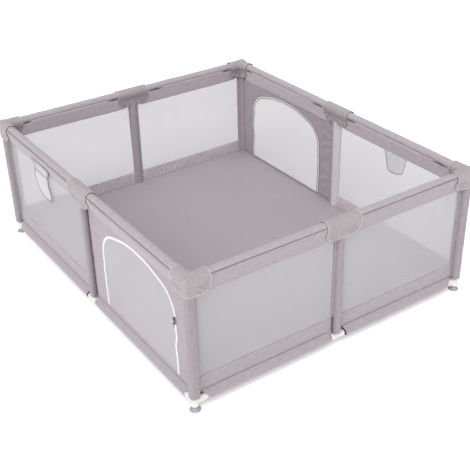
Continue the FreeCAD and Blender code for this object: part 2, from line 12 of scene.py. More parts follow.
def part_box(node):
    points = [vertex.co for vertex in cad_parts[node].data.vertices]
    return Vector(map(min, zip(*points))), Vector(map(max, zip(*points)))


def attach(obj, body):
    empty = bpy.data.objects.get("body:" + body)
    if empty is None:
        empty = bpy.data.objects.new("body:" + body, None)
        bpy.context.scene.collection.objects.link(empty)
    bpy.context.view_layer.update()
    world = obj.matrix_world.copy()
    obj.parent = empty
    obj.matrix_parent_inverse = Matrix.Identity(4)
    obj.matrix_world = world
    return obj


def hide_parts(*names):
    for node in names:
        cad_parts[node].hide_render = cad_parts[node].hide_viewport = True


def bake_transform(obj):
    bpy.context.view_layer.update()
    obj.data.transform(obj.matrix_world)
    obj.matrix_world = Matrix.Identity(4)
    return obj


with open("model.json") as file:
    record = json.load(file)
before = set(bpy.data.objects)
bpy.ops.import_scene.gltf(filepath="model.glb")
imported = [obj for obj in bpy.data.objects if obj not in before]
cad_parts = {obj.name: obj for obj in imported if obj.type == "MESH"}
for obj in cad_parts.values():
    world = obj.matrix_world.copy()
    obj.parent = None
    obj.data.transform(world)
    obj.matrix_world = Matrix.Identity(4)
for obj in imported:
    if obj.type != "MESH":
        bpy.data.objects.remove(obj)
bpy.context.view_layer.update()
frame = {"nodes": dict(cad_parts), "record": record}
MM = 0.001

# ---------------------------------------------------------------- camera and studio

CAMERA_AZIMUTH = math.radians(56.31)
CAMERA_ELEVATION = math.radians(30.62)
CAMERA_ROLL = math.radians(1.42)
CAMERA_AIM = Vector((-0.1517, 0.1702, 0))
CAMERA_DISTANCE = 4.686
CAMERA_LENS = 68.34


def make_camera():
    level = math.cos(CAMERA_ELEVATION)
    back = Vector((math.sin(CAMERA_AZIMUTH) * level, -math.cos(CAMERA_AZIMUTH) * level,
                   math.sin(CAMERA_ELEVATION)))
    right = Vector((0, 0, 1)).cross(back).normalized()
    up = back.cross(right)
    rolled_up = up * math.cos(CAMERA_ROLL) + right * math.sin(CAMERA_ROLL)
    rolled_right = rolled_up.cross(back)
    camera = bpy.data.objects.new("camera", bpy.data.cameras.new("camera"))
    camera.data.lens = CAMERA_LENS
    camera.data.clip_end = 50
    turn = Matrix((rolled_right, rolled_up, back)).transposed().to_4x4()
    camera.matrix_world = Matrix.Translation(CAMERA_AIM + back * CAMERA_DISTANCE) @ turn
    bpy.context.scene.collection.objects.link(camera)
    bpy.context.scene.camera = camera


def soft_sun(name, towards, strength, angle, colour=(1, 1, 1)):
    """An even light from one direction; a wide angle makes its shadows soft."""
    lamp = bpy.data.lights.new(name, "SUN")
    lamp.energy = strength
    lamp.angle = math.radians(angle)
    lamp.color = colour
    light = bpy.data.objects.new(name, lamp)
    light.rotation_euler = Vector(towards).to_track_quat("Z", "Y").to_euler()
    bpy.context.scene.collection.objects.link(light)


def make_studio():
    world = bpy.data.worlds.new("studio")
    world.use_nodes = True
    world.node_tree.nodes["Background"].inputs["Color"].default_value = (1, 1, 1, 1)
    world.node_tree.nodes["Background"].inputs["Strength"].default_value = 0.6
    bpy.context.scene.world = world
    bpy.context.scene.view_settings.view_transform = "Standard"
    soft_sun("overhead", (0.1, -0.1, 1), 0.96, 50)
    soft_sun("key", (0.4, -0.65, 0.68), 1.0, 25, (1, 0.99, 0.98))


# ---------------------------------------------------------------- places read from the frame


def middle(node):
    low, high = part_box(node)
    return (low + high) / 2


HALF_LONG, HALF_SHORT = middle("corner_post_back_right")[:2]
RAIL_Z = middle("rail_pads_front").z
LOW_Z = middle("bottom_rail_tubes").z
PAD_RADIUS = (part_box("rail_pads_front")[1].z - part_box("rail_pads_front")[0].z) / 2
HEM_RADIUS = LOW_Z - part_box("cover_front")[0].z
SLEEVE_BOTTOM, SLEEVE_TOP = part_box("post_sleeves")[0].z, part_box("post_sleeves")[1].z
SLEEVE_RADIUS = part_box("post_sleeves")[1].x - HALF_LONG
CAP_BOTTOM, CAP_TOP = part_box("corner_cap_front_right")[0].z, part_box("corner_cap_front_right")[1].z
CAP_RADIUS = CAP_TOP - RAIL_Z
CAP_ARM = HALF_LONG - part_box("corner_cap_front_right")[0].x
CAP_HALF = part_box("mid_cap_front")[1].x
PANEL_Y = middle("mesh_front").y + HALF_SHORT
BAND_TOP, VALANCE_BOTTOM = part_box("mesh_front")[0].z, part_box("mesh_front")[1].z
WINDOW_NEAR = -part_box("mesh_front")[1].x
WINDOW_INSET = HALF_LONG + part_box("mesh_front")[0].x
NET_NEAR = WINDOW_NEAR - 9 * MM
PAD_NEAR = 42 * MM
PAD_INSET = 60 * MM
HEM_NEAR = 36 * MM
HEM_INSET = 35 * MM
DOOR_X = middle("door_leaf_front").x
DOOR_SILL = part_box("zip_chain_front")[0].z
ZIP_OUTER = 5 * MM
DOOR_HALF = (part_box("zip_chain_front")[1].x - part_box("zip_chain_front")[0].x) / 2 - ZIP_OUTER
DOOR_SPRING = 355 * MM
DOOR_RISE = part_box("zip_chain_front")[1].z - ZIP_OUTER - DOOR_SPRING
DOOR_CORNER = 130 * MM
ZIP_INNER = 3 * MM
FLOOR_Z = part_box("floor_mat")[1].z
FLOOR_EDGE_Z = 75 * MM
LINING_Y = PANEL_Y + 1.4 * MM

TURN = {"front": 0, "right": 90, "back": 180, "left": 270}
LONG_SIDES = ("front", "back")
CORNER_TURN = {"front_left": 0, "front_right": 90, "back_right": 180, "back_left": 270}


def half_span(side):
    return HALF_LONG if side in LONG_SIDES else HALF_SHORT


def side_place(side):
    """From a side's own frame, X to the right seen from outside and Y inwards, to the row frame."""
    depth = HALF_SHORT if side in LONG_SIDES else HALF_LONG
    return Matrix.Rotation(math.radians(TURN[side]), 4, "Z") @ Matrix.Translation((0, -depth, 0))


def corner_place(corner):
    x = HALF_LONG if "right" in corner else -HALF_LONG
    y = HALF_SHORT if "back" in corner else -HALF_SHORT
    turn = Matrix.Rotation(math.radians(CORNER_TURN[corner]), 4, "Z")
    return Matrix.Translation((x, y, 0)) @ turn


# ---------------------------------------------------------------- small numeric tools


def rumple(u, v, size_u, size_v, seed):
    """Smooth random heights, about -1 to 1, with bumps about one size apart each way."""
    cells = 61
    lattice = np.random.default_rng(seed).uniform(-1, 1, (cells, cells))
    a, b = np.broadcast_arrays(np.asarray(u) / size_u, np.asarray(v) / size_v)
    i, j = np.floor(a).astype(int), np.floor(b).astype(int)
    s, t = a - i, b - j
    s, t = s * s * (3 - 2 * s), t * t * (3 - 2 * t)
    i0, j0, i1, j1 = i % cells, j % cells, (i + 1) % cells, (j + 1) % cells
    low = lattice[i0, j0] * (1 - s) + lattice[i1, j0] * s
    high = lattice[i0, j1] * (1 - s) + lattice[i1, j1] * s
    return 1.4 * (low * (1 - t) + high * t)


def ease(x, low, high):
    """0 before low, 1 after high, and smooth between."""
    t = np.clip((x - low) / (high - low), 0, 1)
    return t * t * (3 - 2 * t)


def fan(x, z, at, facing, spread, count, reach, depth):
    """Tension folds that run out of one point: about count of them over the spread of angles."""
    dx, dz = x - at[0], z - at[1]
    r = np.hypot(dx, dz) + 1e-6
    off = np.angle(np.exp(1j * (np.arctan2(dz, dx) - facing)))
    window = np.clip(1 - (off / spread) ** 2, 0, 1)
    ridges = np.cos(off / spread * count * math.pi)
    return depth * window * ridges * np.exp(-r / reach) * ease(r, 0, reach * 0.5)


# ---------------------------------------------------------------- mesh tools


def link(name, mesh, material, body="frame"):
    piece = bpy.data.objects.new(name, mesh)
    bpy.context.scene.collection.objects.link(piece)
    mesh.materials.append(material)
    if body:
        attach(piece, body)
    return piece


def raw_mesh(name, points, faces, uvs=None, smooth=True):
    mesh = bpy.data.meshes.new(name)
    mesh.from_pydata(np.asarray(points).tolist(), [], np.asarray(faces).tolist())
    if uvs is not None:
        layer = mesh.uv_layers.new(name="cloth")
        layer.data.foreach_set("uv", np.asarray(uvs, np.float32).ravel())
    mesh.polygons.foreach_set("use_smooth", [smooth] * len(mesh.polygons))
    mesh.update()
    return mesh


def grid_data(points, along, across, wrap=False, flip=False):
    """Points, quads and UVs of a grid: points is rows by columns, along and across are its UVs."""
    rows, columns = points.shape[:2]
    i, j = np.meshgrid(np.arange(rows - 1), np.arange(columns - (0 if wrap else 1)), indexing="ij")
    i, j = i.ravel(), j.ravel()
    corner_i = np.stack([i, i + 1, i + 1, i], 1)
    corner_j = np.stack([j, j, j + 1, j + 1], 1)
    if flip:
        corner_i, corner_j = corner_i[:, ::-1], corner_j[:, ::-1]
    faces = corner_i * columns + corner_j % columns
    along, across = np.asarray(along, float), np.asarray(across, float)
    if along.ndim == 1:
        uvs = np.stack([along[corner_i], across[corner_j]], -1)
    else:
        uvs = np.stack([along[corner_i, corner_j], across[corner_i, corner_j]], -1)
    return points.reshape(-1, 3), faces, uvs


def moved(points, place):
    m = np.array(place)
    return np.asarray(points) @ m[:3, :3].T + m[:3, 3]


def merge(parts):
    """Several (points, faces, uvs) as one; all faces have four corners."""
    points, faces, uvs, start = [], [], [], 0
    for p, f, uv in parts:
        points.append(p)
        faces.append(np.asarray(f) + start)
        uvs.append(uv)
        start += len(p)
    return np.concatenate(points), np.concatenate(faces), np.concatenate(uvs)


def solidify(piece, thickness, offset=0.0):
    thick = piece.modifiers.new("thickness", "SOLIDIFY")
    thick.thickness = thickness
    thick.offset = offset
    thick.use_even_offset = True
    return piece


def sweep(path, radius, sides=8, closed=False, flat=1.0):
    """A round tube along a path; flat squeezes it along the third axis of each cross-section."""
    path = np.asarray(path, float)
    if closed:
        ahead, behind = np.roll(path, -1, 0), np.roll(path, 1, 0)
    else:
        ahead, behind = np.vstack([path[1:], path[-1:]]), np.vstack([path[:1], path[:-1]])
    tangent = ahead - behind
    tangent /= np.linalg.norm(tangent, axis=1)[:, None] + 1e-12
    guide = np.tile([0.0, 0.0, 1.0], (len(path), 1))
    steep = np.abs(tangent[:, 2]) > 0.95
    guide[steep] = [0.0, 1.0, 0.0]
    normal = np.empty_like(path)
    last = np.cross(tangent[0], guide[0])
    for index, direction in enumerate(tangent):
        last = last - direction * (last @ direction)
        last = last / (np.linalg.norm(last) + 1e-12)
        normal[index] = last
    binormal = np.cross(tangent, normal)
    angle = np.linspace(0, 2 * math.pi, sides, endpoint=False)
    rings = (path[:, None] + radius * (np.cos(angle)[None, :, None] * normal[:, None]
             + flat * np.sin(angle)[None, :, None] * binormal[:, None]))
    steps = np.concatenate([[0], np.cumsum(np.linalg.norm(np.diff(path, axis=0), axis=1))])
    if closed:
        rings = np.concatenate([rings, rings[:1]])
        steps = np.append(steps, steps[-1] + np.linalg.norm(path[0] - path[-1]))
    around = np.linspace(0, 2 * math.pi * radius, sides + 1)
    return grid_data(rings, steps, around, wrap=True)


def cloth_piece(name, points, along, across, material, thickness=1.0 * MM, wrap=False,
                side=None, body="frame"):
    """A sheet of cloth from a grid in a side's own frame."""
    points, faces, uvs = grid_data(points, along, across, wrap)
    if side:
        points = moved(points, side_place(side))
    piece = link(name, raw_mesh(name, points, faces, uvs), material, body)
    return solidify(piece, thickness)


# ---------------------------------------------------------------- materials


class Nodes:
    """Short ways to add shader nodes to one material."""

    def __init__(self, name):
        self.material = bpy.data.materials.new(name)
        self.material.use_nodes = True
        self.tree = self.material.node_tree
        self.shader = self.tree.nodes["Principled BSDF"]

    def add(self, kind, **settings):
        node = self.tree.nodes.new(kind)
        for key, value in settings.items():
            if key in node.inputs.keys():
                self.set(node.inputs[key], value)
            else:
                setattr(node, key, value)
        return node

    def set(self, socket, value):
        if isinstance(value, bpy.types.NodeSocket):
            self.tree.links.new(value, socket)
        else:
            socket.default_value = value

    def math(self, operation, a, b=0.0, c=0.0):
        node = self.tree.nodes.new("ShaderNodeMath")
        node.operation = operation
        for socket, value in zip(node.inputs, (a, b, c)):
            self.set(socket, value)
        return node.outputs[0]

    def mix(self, factor, a, b, blend="MIX"):
        node = self.tree.nodes.new("ShaderNodeMix")
        node.data_type = "RGBA"
        node.blend_type = blend
        self.set(node.inputs[0], factor)
        self.set(node.inputs[6], a)
        self.set(node.inputs[7], b)
        return node.outputs[2]

    def noise(self, where, scale, detail=2.0, stretch=None):
        if stretch:
            where = self.add("ShaderNodeMapping", Vector=where, Scale=stretch).outputs[0]
        node = self.add("ShaderNodeTexNoise", Vector=where, Scale=scale, Detail=detail)
        return node.outputs["Fac"]

    def ramp(self, value, low, high, out_low=0.0, out_high=1.0):
        node = self.tree.nodes.new("ShaderNodeMapRange")
        node.interpolation_type = "SMOOTHSTEP"
        for socket, number in zip(node.inputs, (value, low, high, out_low, out_high)):
            self.set(socket, number)
        return node.outputs[0]

    def finish(self, **sockets):
        for key, value in sockets.items():
            self.set(self.shader.inputs[key.replace("_", " ")], value)
        return self.material


def rgb(red, green, blue):
    """A colour from its 0 to 255 screen values."""
    screen = np.array([red, green, blue]) / 255
    linear = np.where(screen <= 0.04045, screen / 12.92, ((screen + 0.055) / 1.055) ** 2.4)
    return (*linear.tolist(), 1.0)


def oxford(name, colour, dark=0.76, thread=1.1 * MM, heather=0.6):
    """Plain-woven polyester with a heathered thread, from UVs in metres."""
    n = Nodes(name)
    cloth = n.add("ShaderNodeUVMap", uv_map="cloth").outputs[0]
    place = n.add("ShaderNodeTexCoord").outputs["Object"]
    split = n.add("ShaderNodeSeparateXYZ", Vector=cloth)
    turn = 2 * math.pi / (2 * thread)
    warp = n.math("SINE", n.math("MULTIPLY", split.outputs[0], turn))
    weft = n.math("SINE", n.math("MULTIPLY", split.outputs[1], turn))
    weave = n.math("MULTIPLY", warp, weft)
    height = n.math("MULTIPLY_ADD", weave, 0.5, 0.5)
    long_threads = n.noise(cloth, 1, 3, (70, 900, 1))
    cross_threads = n.noise(cloth, 1, 3, (900, 70, 1))
    over = n.ramp(height, 0.35, 0.65)
    threads = n.mix(over, long_threads, cross_threads)
    slubs = n.mix(0.5, n.noise(cloth, 1, 3, (25, 260, 1)), n.noise(cloth, 1, 3, (260, 25, 1)))
    threads = n.mix(0.45, threads, slubs)
    flecks = n.ramp(threads, 0.4, 0.6)
    shade = n.ramp(n.noise(place, 9, 3), 0.3, 0.7)
    dark_colour = tuple(c * dark for c in colour[:3]) + (1,)
    light_colour = tuple(min(1, c * (2 - dark)) for c in colour[:3]) + (1,)
    heathered = n.mix(n.math("MULTIPLY", flecks, heather), dark_colour, light_colour)
    tone = n.mix(n.math("MULTIPLY", shade, 0.12), heathered, (1, 0.98, 0.99, 1), "MULTIPLY")
    # The weave's low pits are coloured darker: painted shade between the threads.
    pit_shade = n.mix(n.math("MULTIPLY", n.ramp(height, 0.25, 0.0), 0.5), tone, (0.55, 0.52, 0.55, 1),
                 "MULTIPLY")
    bump = n.add("ShaderNodeBump", Strength=0.35, Distance=0.4 * MM, Height=height)
    crease = n.add("ShaderNodeBump", Strength=0.3, Distance=1.5 * MM,
                   Height=n.noise(place, 45, 4), Normal=bump.outputs[0])
    rough = n.ramp(flecks, 0, 1, 0.72, 0.88)
    n.finish(Sheen_Weight=0.25, Sheen_Roughness=0.4, Specular_IOR_Level=0.3)
    return n.finish(Base_Color=pit_shade, Roughness=rough, Normal=crease.outputs[0])


def net(name, colour, thread_alpha, hole_alpha, pitch=2.4 * MM, open_share=0.3):
    """Knitted net: rows of round holes set half a pitch apart, seen through by alpha."""
    n = Nodes(name)
    cloth = n.add("ShaderNodeUVMap", uv_map="cloth").outputs[0]
    split = n.add("ShaderNodeSeparateXYZ", Vector=cloth)
    turn = math.pi / pitch
    rows = n.math("SINE", n.math("MULTIPLY", n.math("ADD", split.outputs[0], split.outputs[1]), turn))
    columns = n.math("SINE", n.math("MULTIPLY",
                                    n.math("SUBTRACT", split.outputs[0], split.outputs[1]), turn))
    cell = n.math("ABSOLUTE", n.math("MULTIPLY", rows, columns))
    hole = n.ramp(cell, open_share, open_share + 0.25)
    strands = n.noise(cloth, 1, 2, (900, 500, 1))
    alpha = n.math("MULTIPLY_ADD", hole, hole_alpha - thread_alpha, thread_alpha)
    shade = n.mix(n.ramp(strands, 0.3, 0.7), tuple(c * 0.88 for c in colour[:3]) + (1,), colour)
    bump = n.add("ShaderNodeBump", Strength=0.4, Distance=0.5 * MM,
                 Height=n.math("SUBTRACT", 1.0, hole))
    n.finish(Sheen_Weight=0.15, Specular_IOR_Level=0.25, Roughness=0.75)
    return n.finish(Base_Color=shade, Alpha=alpha, Normal=bump.outputs[0])


def tape(name, colour, rib=1.0 * MM, roughness=0.7, wear=0.12):
    """Woven tape or piping cord with fine cross ribs."""
    n = Nodes(name)
    cloth = n.add("ShaderNodeUVMap", uv_map="cloth").outputs[0]
    split = n.add("ShaderNodeSeparateXYZ", Vector=cloth)
    ribs = n.math("SINE", n.math("MULTIPLY", split.outputs[0], 2 * math.pi / rib))
    # The ribs' grooves are coloured darker: painted shade in the grooves.
    shade = n.mix(n.ramp(ribs, -1, 1), tuple(c * 0.86 for c in colour[:3]) + (1,), colour)
    worn = n.mix(n.math("MULTIPLY", n.noise(cloth, 60, 3), wear), shade, rgb(150, 140, 130))
    bump = n.add("ShaderNodeBump", Strength=0.3, Distance=0.3 * MM, Height=ribs)
    n.finish(Sheen_Weight=0.2)
    return n.finish(Base_Color=worn, Roughness=roughness, Normal=bump.outputs[0])


def plastic(name, colour, roughness=0.38, coat=0.15):
    """Moulded plastic: a fine orange-peel surface and slightly uneven colour."""
    n = Nodes(name)
    place = n.add("ShaderNodeTexCoord").outputs["Object"]
    cloud = n.ramp(n.noise(place, 25, 3), 0.3, 0.7)
    shade = n.mix(n.math("MULTIPLY", cloud, 0.35), colour, tuple(c * 0.88 for c in colour[:3]) + (1,))
    grain = n.noise(place, 900, 2)
    bump = n.add("ShaderNodeBump", Strength=0.12, Distance=0.2 * MM, Height=grain)
    rough = n.ramp(n.noise(place, 120, 2), 0.3, 0.7, roughness - 0.06, roughness + 0.1)
    n.finish(Coat_Weight=coat, Coat_Roughness=0.3)
    return n.finish(Base_Color=shade, Roughness=rough, Normal=bump.outputs[0])


def metal(name, colour, roughness=0.35, stretch=(40, 40, 700)):
    """Drawn or cast metal with fine lines."""
    n = Nodes(name)
    place = n.add("ShaderNodeTexCoord").outputs["Object"]
    lines = n.noise(place, 1, 3, stretch)
    shade = n.mix(n.ramp(lines, 0.3, 0.7), tuple(c * 0.85 for c in colour[:3]) + (1,), colour)
    rough = n.ramp(lines, 0.25, 0.75, roughness - 0.08, roughness + 0.12)
    bump = n.add("ShaderNodeBump", Strength=0.15, Distance=0.1 * MM, Height=lines)
    return n.finish(Base_Color=shade, Metallic=1.0, Roughness=rough, Normal=bump.outputs[0])


def soft_rubber(name, colour):
    """Clear grey vinyl."""
    n = Nodes(name)
    place = n.add("ShaderNodeTexCoord").outputs["Object"]
    cloud = n.ramp(n.noise(place, 60, 3), 0.3, 0.7)
    shade = n.mix(n.math("MULTIPLY", cloud, 0.3), colour, tuple(c * 0.8 for c in colour[:3]) + (1,))
    bump = n.add("ShaderNodeBump", Strength=0.1, Distance=0.3 * MM, Height=n.noise(place, 300, 2))
    n.finish(Alpha=0.82, Coat_Weight=0.4, Coat_Roughness=0.15, Specular_IOR_Level=0.6)
    return n.finish(Base_Color=shade, Roughness=0.22, Normal=bump.outputs[0])


GREY = rgb(183, 174, 181)
CLOTH = {
    "pad": oxford("pad_oxford", rgb(188, 180, 185)),
    "cap": oxford("cap_oxford", rgb(180, 172, 175)),
    "sleeve": oxford("sleeve_oxford", rgb(170, 161, 169)),
    "cover": oxford("cover_oxford", rgb(184, 174, 182)),
    # The tub's inner cloth is the cover's woven cloth painted lighter: painted light on the inner faces,
    # which the lamps leave darker.
    "lit_lining": oxford("lit_lining_oxford", rgb(222, 212, 220)),
    "floor": oxford("floor_oxford", rgb(176, 168, 174), dark=0.86),
    "window": net("window_net", rgb(204, 201, 205), 0.86, 0.4),
    "door": net("door_net", rgb(210, 207, 212), 0.88, 0.42),
    "pocket": net("pocket_net", rgb(244, 244, 248), 0.4, 0.1),
    "patch": net("pocket_patch", rgb(206, 201, 208), 0.97, 0.85),
    "piping": tape("piping_cord", rgb(220, 215, 208), rib=1.6 * MM),
    "binding": tape("grey_binding", rgb(136, 128, 140), rib=1.2 * MM),
    "edging": tape("zip_edging", rgb(112, 102, 100), rib=1.2 * MM),
    "zip_tape": tape("zip_tape", rgb(255, 254, 254), rib=0.9 * MM, wear=0.03),
    "strip": tape("webbing", rgb(230, 227, 232), rib=2.5 * MM),
    # A dark cord: the seams' thread, darkened further as painted shade of their creases.
    "seam": tape("seam_thread_and_shade", rgb(132, 122, 128), rib=3.0 * MM),
    # Painted shadow: a near-black cloth set where only shade falls, in the hem's mouths, the seam gaps and
    # the post slits.
    "shadow": tape("painted_shadow_cloth", rgb(36, 31, 34), rib=2.0 * MM),
}
HARD = {
    "teeth": plastic("zip_teeth", rgb(255, 254, 252), 0.4),
    "joint": plastic("joint_abs", rgb(232, 230, 224)),
    "cup": soft_rubber("cup_vinyl", rgb(178, 176, 190)),
    "tube": metal("tube_steel", rgb(196, 196, 200)),
    "slider": metal("slider_zinc", rgb(168, 150, 122), 0.45, (300, 300, 300)),
}

# ---------------------------------------------------------------- hard parts that CAD shapes


def finish_cad_nodes():
    """The tubes, joints, cups and sliders keep their CAD shapes and get real surfaces."""
    looks = {"frame_steel": "tube", "joint_plastic": "joint", "cup_rubber": "cup",
             "slider_metal": "slider"}
    for entry in frame["record"]["subparts"]:
        look = looks.get(entry["material_slot"])
        if look:
            node = frame["nodes"][entry["node"]]
            node.data.materials.clear()
            node.data.materials.append(HARD[look])
            if look in ("joint", "slider"):
                soft_edges(node, 0.5 * MM)


def soft_edges(node, width):
    bevel = node.modifiers.new("edges", "BEVEL")
    bevel.width = width
    bevel.segments = 2
    bevel.limit_method = "ANGLE"
    bevel.angle_limit = math.radians(40)
    bevel.use_clamp_overlap = True


# ---------------------------------------------------------------- padded rails

VALANCE_ANGLE = math.radians(66)
LINING_ANGLE = math.radians(84)
SKIN = PAD_RADIUS + 1.2 * MM
NET_LEAN = 5 * MM


def hang_path(angle, foot_y, foot_z, count):
    """Cloth that leaves the roll at an angle from its top: its depths, heights and lengths."""
    over = np.linspace(angle, math.radians(100), 8)
    depth = np.append(SKIN * np.sin(over), foot_y)
    height = np.append(RAIL_Z + SKIN * np.cos(over), foot_z)
    step = np.concatenate([[0], np.cumsum(np.hypot(np.diff(depth), np.diff(height)))])
    at = np.linspace(0, step[-1], count)
    return np.interp(at, step, depth), np.interp(at, step, height), at


def beyond_caps(x, span):
    """One where a rail is bare, down to nought under the caps at its two ends."""
    return ease(np.minimum(x - CAP_HALF, span - CAP_ARM - x), -8 * MM, 8 * MM)


def rail_roll(side, half, seed):
    """Foam in a sewn tube of cloth, drawn in along the seams where the walls hang from it."""
    near, far = PAD_NEAR, half_span(side) - PAD_INSET
    x = np.linspace(near, far, int((far - near) / (6 * MM)))
    around = np.linspace(0, 2 * math.pi, 100, endpoint=False)
    xx, tt = np.meshgrid(x, around, indexing="ij")
    loop = np.cos(tt) * PAD_RADIUS
    swell = 0.7 * rumple(xx, loop, 0.11, 0.03, seed) + 0.35 * rumple(xx, loop, 0.03, 0.02, seed + 1)
    bunch = np.cos(xx / (15 * MM) + 2 * rumple(xx, loop, 0.05, 0.03, seed + 2))
    gather = np.exp(-(xx - CAP_HALF) / 0.05) + np.exp(-(half_span(side) - CAP_ARM - xx) / 0.035)
    radius = PAD_RADIUS - 0.8 * MM + MM * (swell + 0.45 * bunch * np.clip(gather, 0, 1.2))
    for seam in (VALANCE_ANGLE, -LINING_ANGLE):
        arc = np.abs(np.angle(np.exp(1j * (tt - seam))))
        radius -= 2 * MM * np.exp(-(arc / 0.08) ** 2)
    points = np.stack([half * xx, -radius * np.sin(tt), RAIL_Z + radius * np.cos(tt)], -1)
    points, faces, uvs = grid_data(points, x, np.linspace(0, 2 * math.pi * PAD_RADIUS, 101),
                                   wrap=True, flip=half > 0)
    return moved(points, side_place(side)), faces, uvs


def make_rails():
    for number, side in enumerate(TURN):
        for half, word in ((-1, "left"), (1, "right")):
            data = rail_roll(side, half, 100 + 10 * number + half)
            name = f"rail_roll_{side}_{word}"
            piece = link(name, raw_mesh(name, *data), CLOTH["pad"])
            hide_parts(f"rail_pads_{side}")


# ---------------------------------------------------------------- walls of cloth and net


def wall_depth(side, half, x, z):
    """How far a wall's cloth stands inwards of its flat plane; x runs from the middle post."""
    span = half_span(side)
    seed = 300 + 20 * list(TURN).index(side) + (7 if half > 0 else 0)
    held = ease(x, 0.02, 0.09) * ease(span - x, 0.02, 0.09) * ease(z, 0.075, 0.16)
    held = held * ease(RAIL_Z - z, 0.02, 0.1)
    belly = 3.0 * rumple(x, z, 0.42, 0.4, seed) + 1.1 * rumple(x, z, 0.12, 0.14, seed + 1)
    return MM * belly * held


def valance(side, half, seed):
    """The woven band outside the roll, from its seam down to the top of the net."""
    span = half_span(side)
    near, far = NET_NEAR - 5 * MM, span - WINDOW_INSET + 8 * MM
    x = np.linspace(near, far, int((far - near) / (4 * MM)))
    depth, height, step = hang_path(VALANCE_ANGLE, NET_LEAN - PANEL_Y, VALANCE_BOTTOM, 24)
    xx, dd = np.meshgrid(x, step / step[-1], indexing="ij")
    bare = beyond_caps(xx, span)
    y = -depth * (0.86 + 0.14 * bare) + dd * wall_depth(side, half, xx, height + 0 * xx)
    gather = np.exp(-np.clip(xx - CAP_HALF, 0, None) / 0.09)
    gather += 0.8 * np.exp(-np.clip(span - CAP_ARM - xx, 0, None) / 0.06)
    pleats = np.cos(xx / (3.8 * MM) + 3 * rumple(xx, dd, 0.05, 0.6, seed))
    slack = np.sin(math.pi * (0.03 + 0.9 * dd)) * (0.4 + 0.6 * bare)
    y += MM * slack * (1.7 * pleats * gather + 1.5 * rumple(xx, dd, 0.06, 0.8, seed + 1))
    y -= 1.1 * MM * ease(dd, 0.84, 0.88)
    return np.stack([half * xx, y, height + 0 * xx], -1), x, step


def inner_valance(side, half, seed):
    """The tub's inner cloth inside the roll, from its seam down to the top of the net, in the cloth
    painted lighter: painted light on the inner face.
    """
    span = half_span(side)
    near, far = PAD_NEAR + 10 * MM, span - PAD_INSET
    x = np.linspace(near, far, int((far - near) / (5 * MM)))
    foot = PANEL_Y + 1.3 * MM - (0 if has_door(side, half) else NET_LEAN)
    depth, height, step = hang_path(LINING_ANGLE, foot, VALANCE_BOTTOM - 4 * MM, 20)
    xx, dd = np.meshgrid(x, step / step[-1], indexing="ij")
    bare = beyond_caps(xx, span)
    y = depth * (0.86 + 0.14 * bare) + dd * wall_depth(side, half, xx, height + 0 * xx)
    ripple = np.cos(xx / (5 * MM) + 3 * rumple(xx, dd, 0.07, 0.6, seed))
    close = np.exp(-np.clip(xx - CAP_HALF, 0, None) / 0.07)
    close += np.exp(-np.clip(span - CAP_ARM - xx, 0, None) / 0.06)
    slack = np.sin(math.pi * (0.03 + 0.9 * dd)) * (0.4 + 0.6 * bare)
    y += MM * slack * (1.2 * ripple * close + 1.2 * rumple(xx, dd, 0.08, 0.7, seed + 1))
    return np.stack([half * xx, y, height + 0 * xx], -1), x, step


def inner_band(side, half, seed):
    """The tub's cloth above the floor's seam, puckered where it is sewn to the net."""
    span = half_span(side)
    x = np.linspace(NET_NEAR, span - WINDOW_INSET + 4 * MM, int((span - NET_NEAR) / (5 * MM)))
    up = np.linspace(0, 1, 14)
    xx, uu = np.meshgrid(x, up, indexing="ij")
    z = FLOOR_EDGE_Z - 2 * MM + (BAND_TOP - FLOOR_EDGE_Z + 4 * MM) * uu
    ripple = np.cos(xx / (5.5 * MM) + 4 * rumple(xx, uu, 0.1, 0.8, seed))
    slack = np.sin(math.pi * (0.05 + 0.9 * uu))
    y = LINING_Y + 1.8 * MM + wall_depth(side, half, xx, z)
    y += MM * slack * (1.3 * ripple + 1.5 * rumple(xx, uu, 0.07, 0.6, seed + 1))
    return np.stack([half * xx, y, z], -1), x, up * (BAND_TOP - FLOOR_EDGE_Z + 4 * MM)


def seam_cords(side, half, seed):
    """The stitched ridges above the valance, above the inner cloth and along the hem, in a dark cord: the
    stitching's thread, with painted shade of the seams' creases.
    """
    span = half_span(side)
    rail = np.linspace(CAP_HALF - 12 * MM, span - CAP_ARM + 12 * MM, 90)
    wander = 0.5 * MM * rumple(rail, 0 * rail, 0.05, 1, seed)
    depth = SKIN - 0.8 * MM
    paths = []
    for angle, sign in ((VALANCE_ANGLE, -1), (LINING_ANGLE, 1)):
        turn = angle - math.radians(2.5)
        paths.append(np.stack([half * rail, np.full_like(rail, sign * depth * math.sin(turn)),
                               RAIL_Z + depth * math.cos(turn) + wander], -1))
    low = np.linspace(HEM_NEAR + 3 * MM, span - HEM_INSET - 3 * MM, 90)
    paths.append(np.stack([half * low, np.full_like(low, HEM_SEAM_Y - 1.4 * MM),
                           HEM_SEAM_Z - 1 * MM + 0 * low], -1))
    return merge([sweep(path, 0.85 * MM, 6) for path in paths])


def seam_gap_shade(side, half, seed):
    """Slim dark strips on the roll beside the caps: painted shade where the inner cloth's seam gapes."""
    span = half_span(side)
    lengths = np.random.default_rng(seed).uniform(50, 110, 2) * MM
    starts = (CAP_HALF - 6 * MM, span - CAP_ARM + 6 * MM - lengths[1])
    parts = []
    for start, length in zip(starts, lengths):
        along = np.linspace(0, 1, 30)
        gape = 3.6 * MM * np.sin(math.pi * along) ** 0.8
        turn = np.stack([-gape, 0.2 * gape, gape], -1) / SKIN + LINING_ANGLE + math.radians(9)
        depth = SKIN + 0.9 * MM
        x = np.repeat((half * (start + length * along))[:, None], 3, 1)
        points = np.stack([x, depth * np.sin(turn), RAIL_Z + depth * np.cos(turn)], -1)
        parts.append(grid_data(points, along * length, np.array([0, 0.5, 1]) * 9 * MM, flip=half < 0))
    return merge(parts)


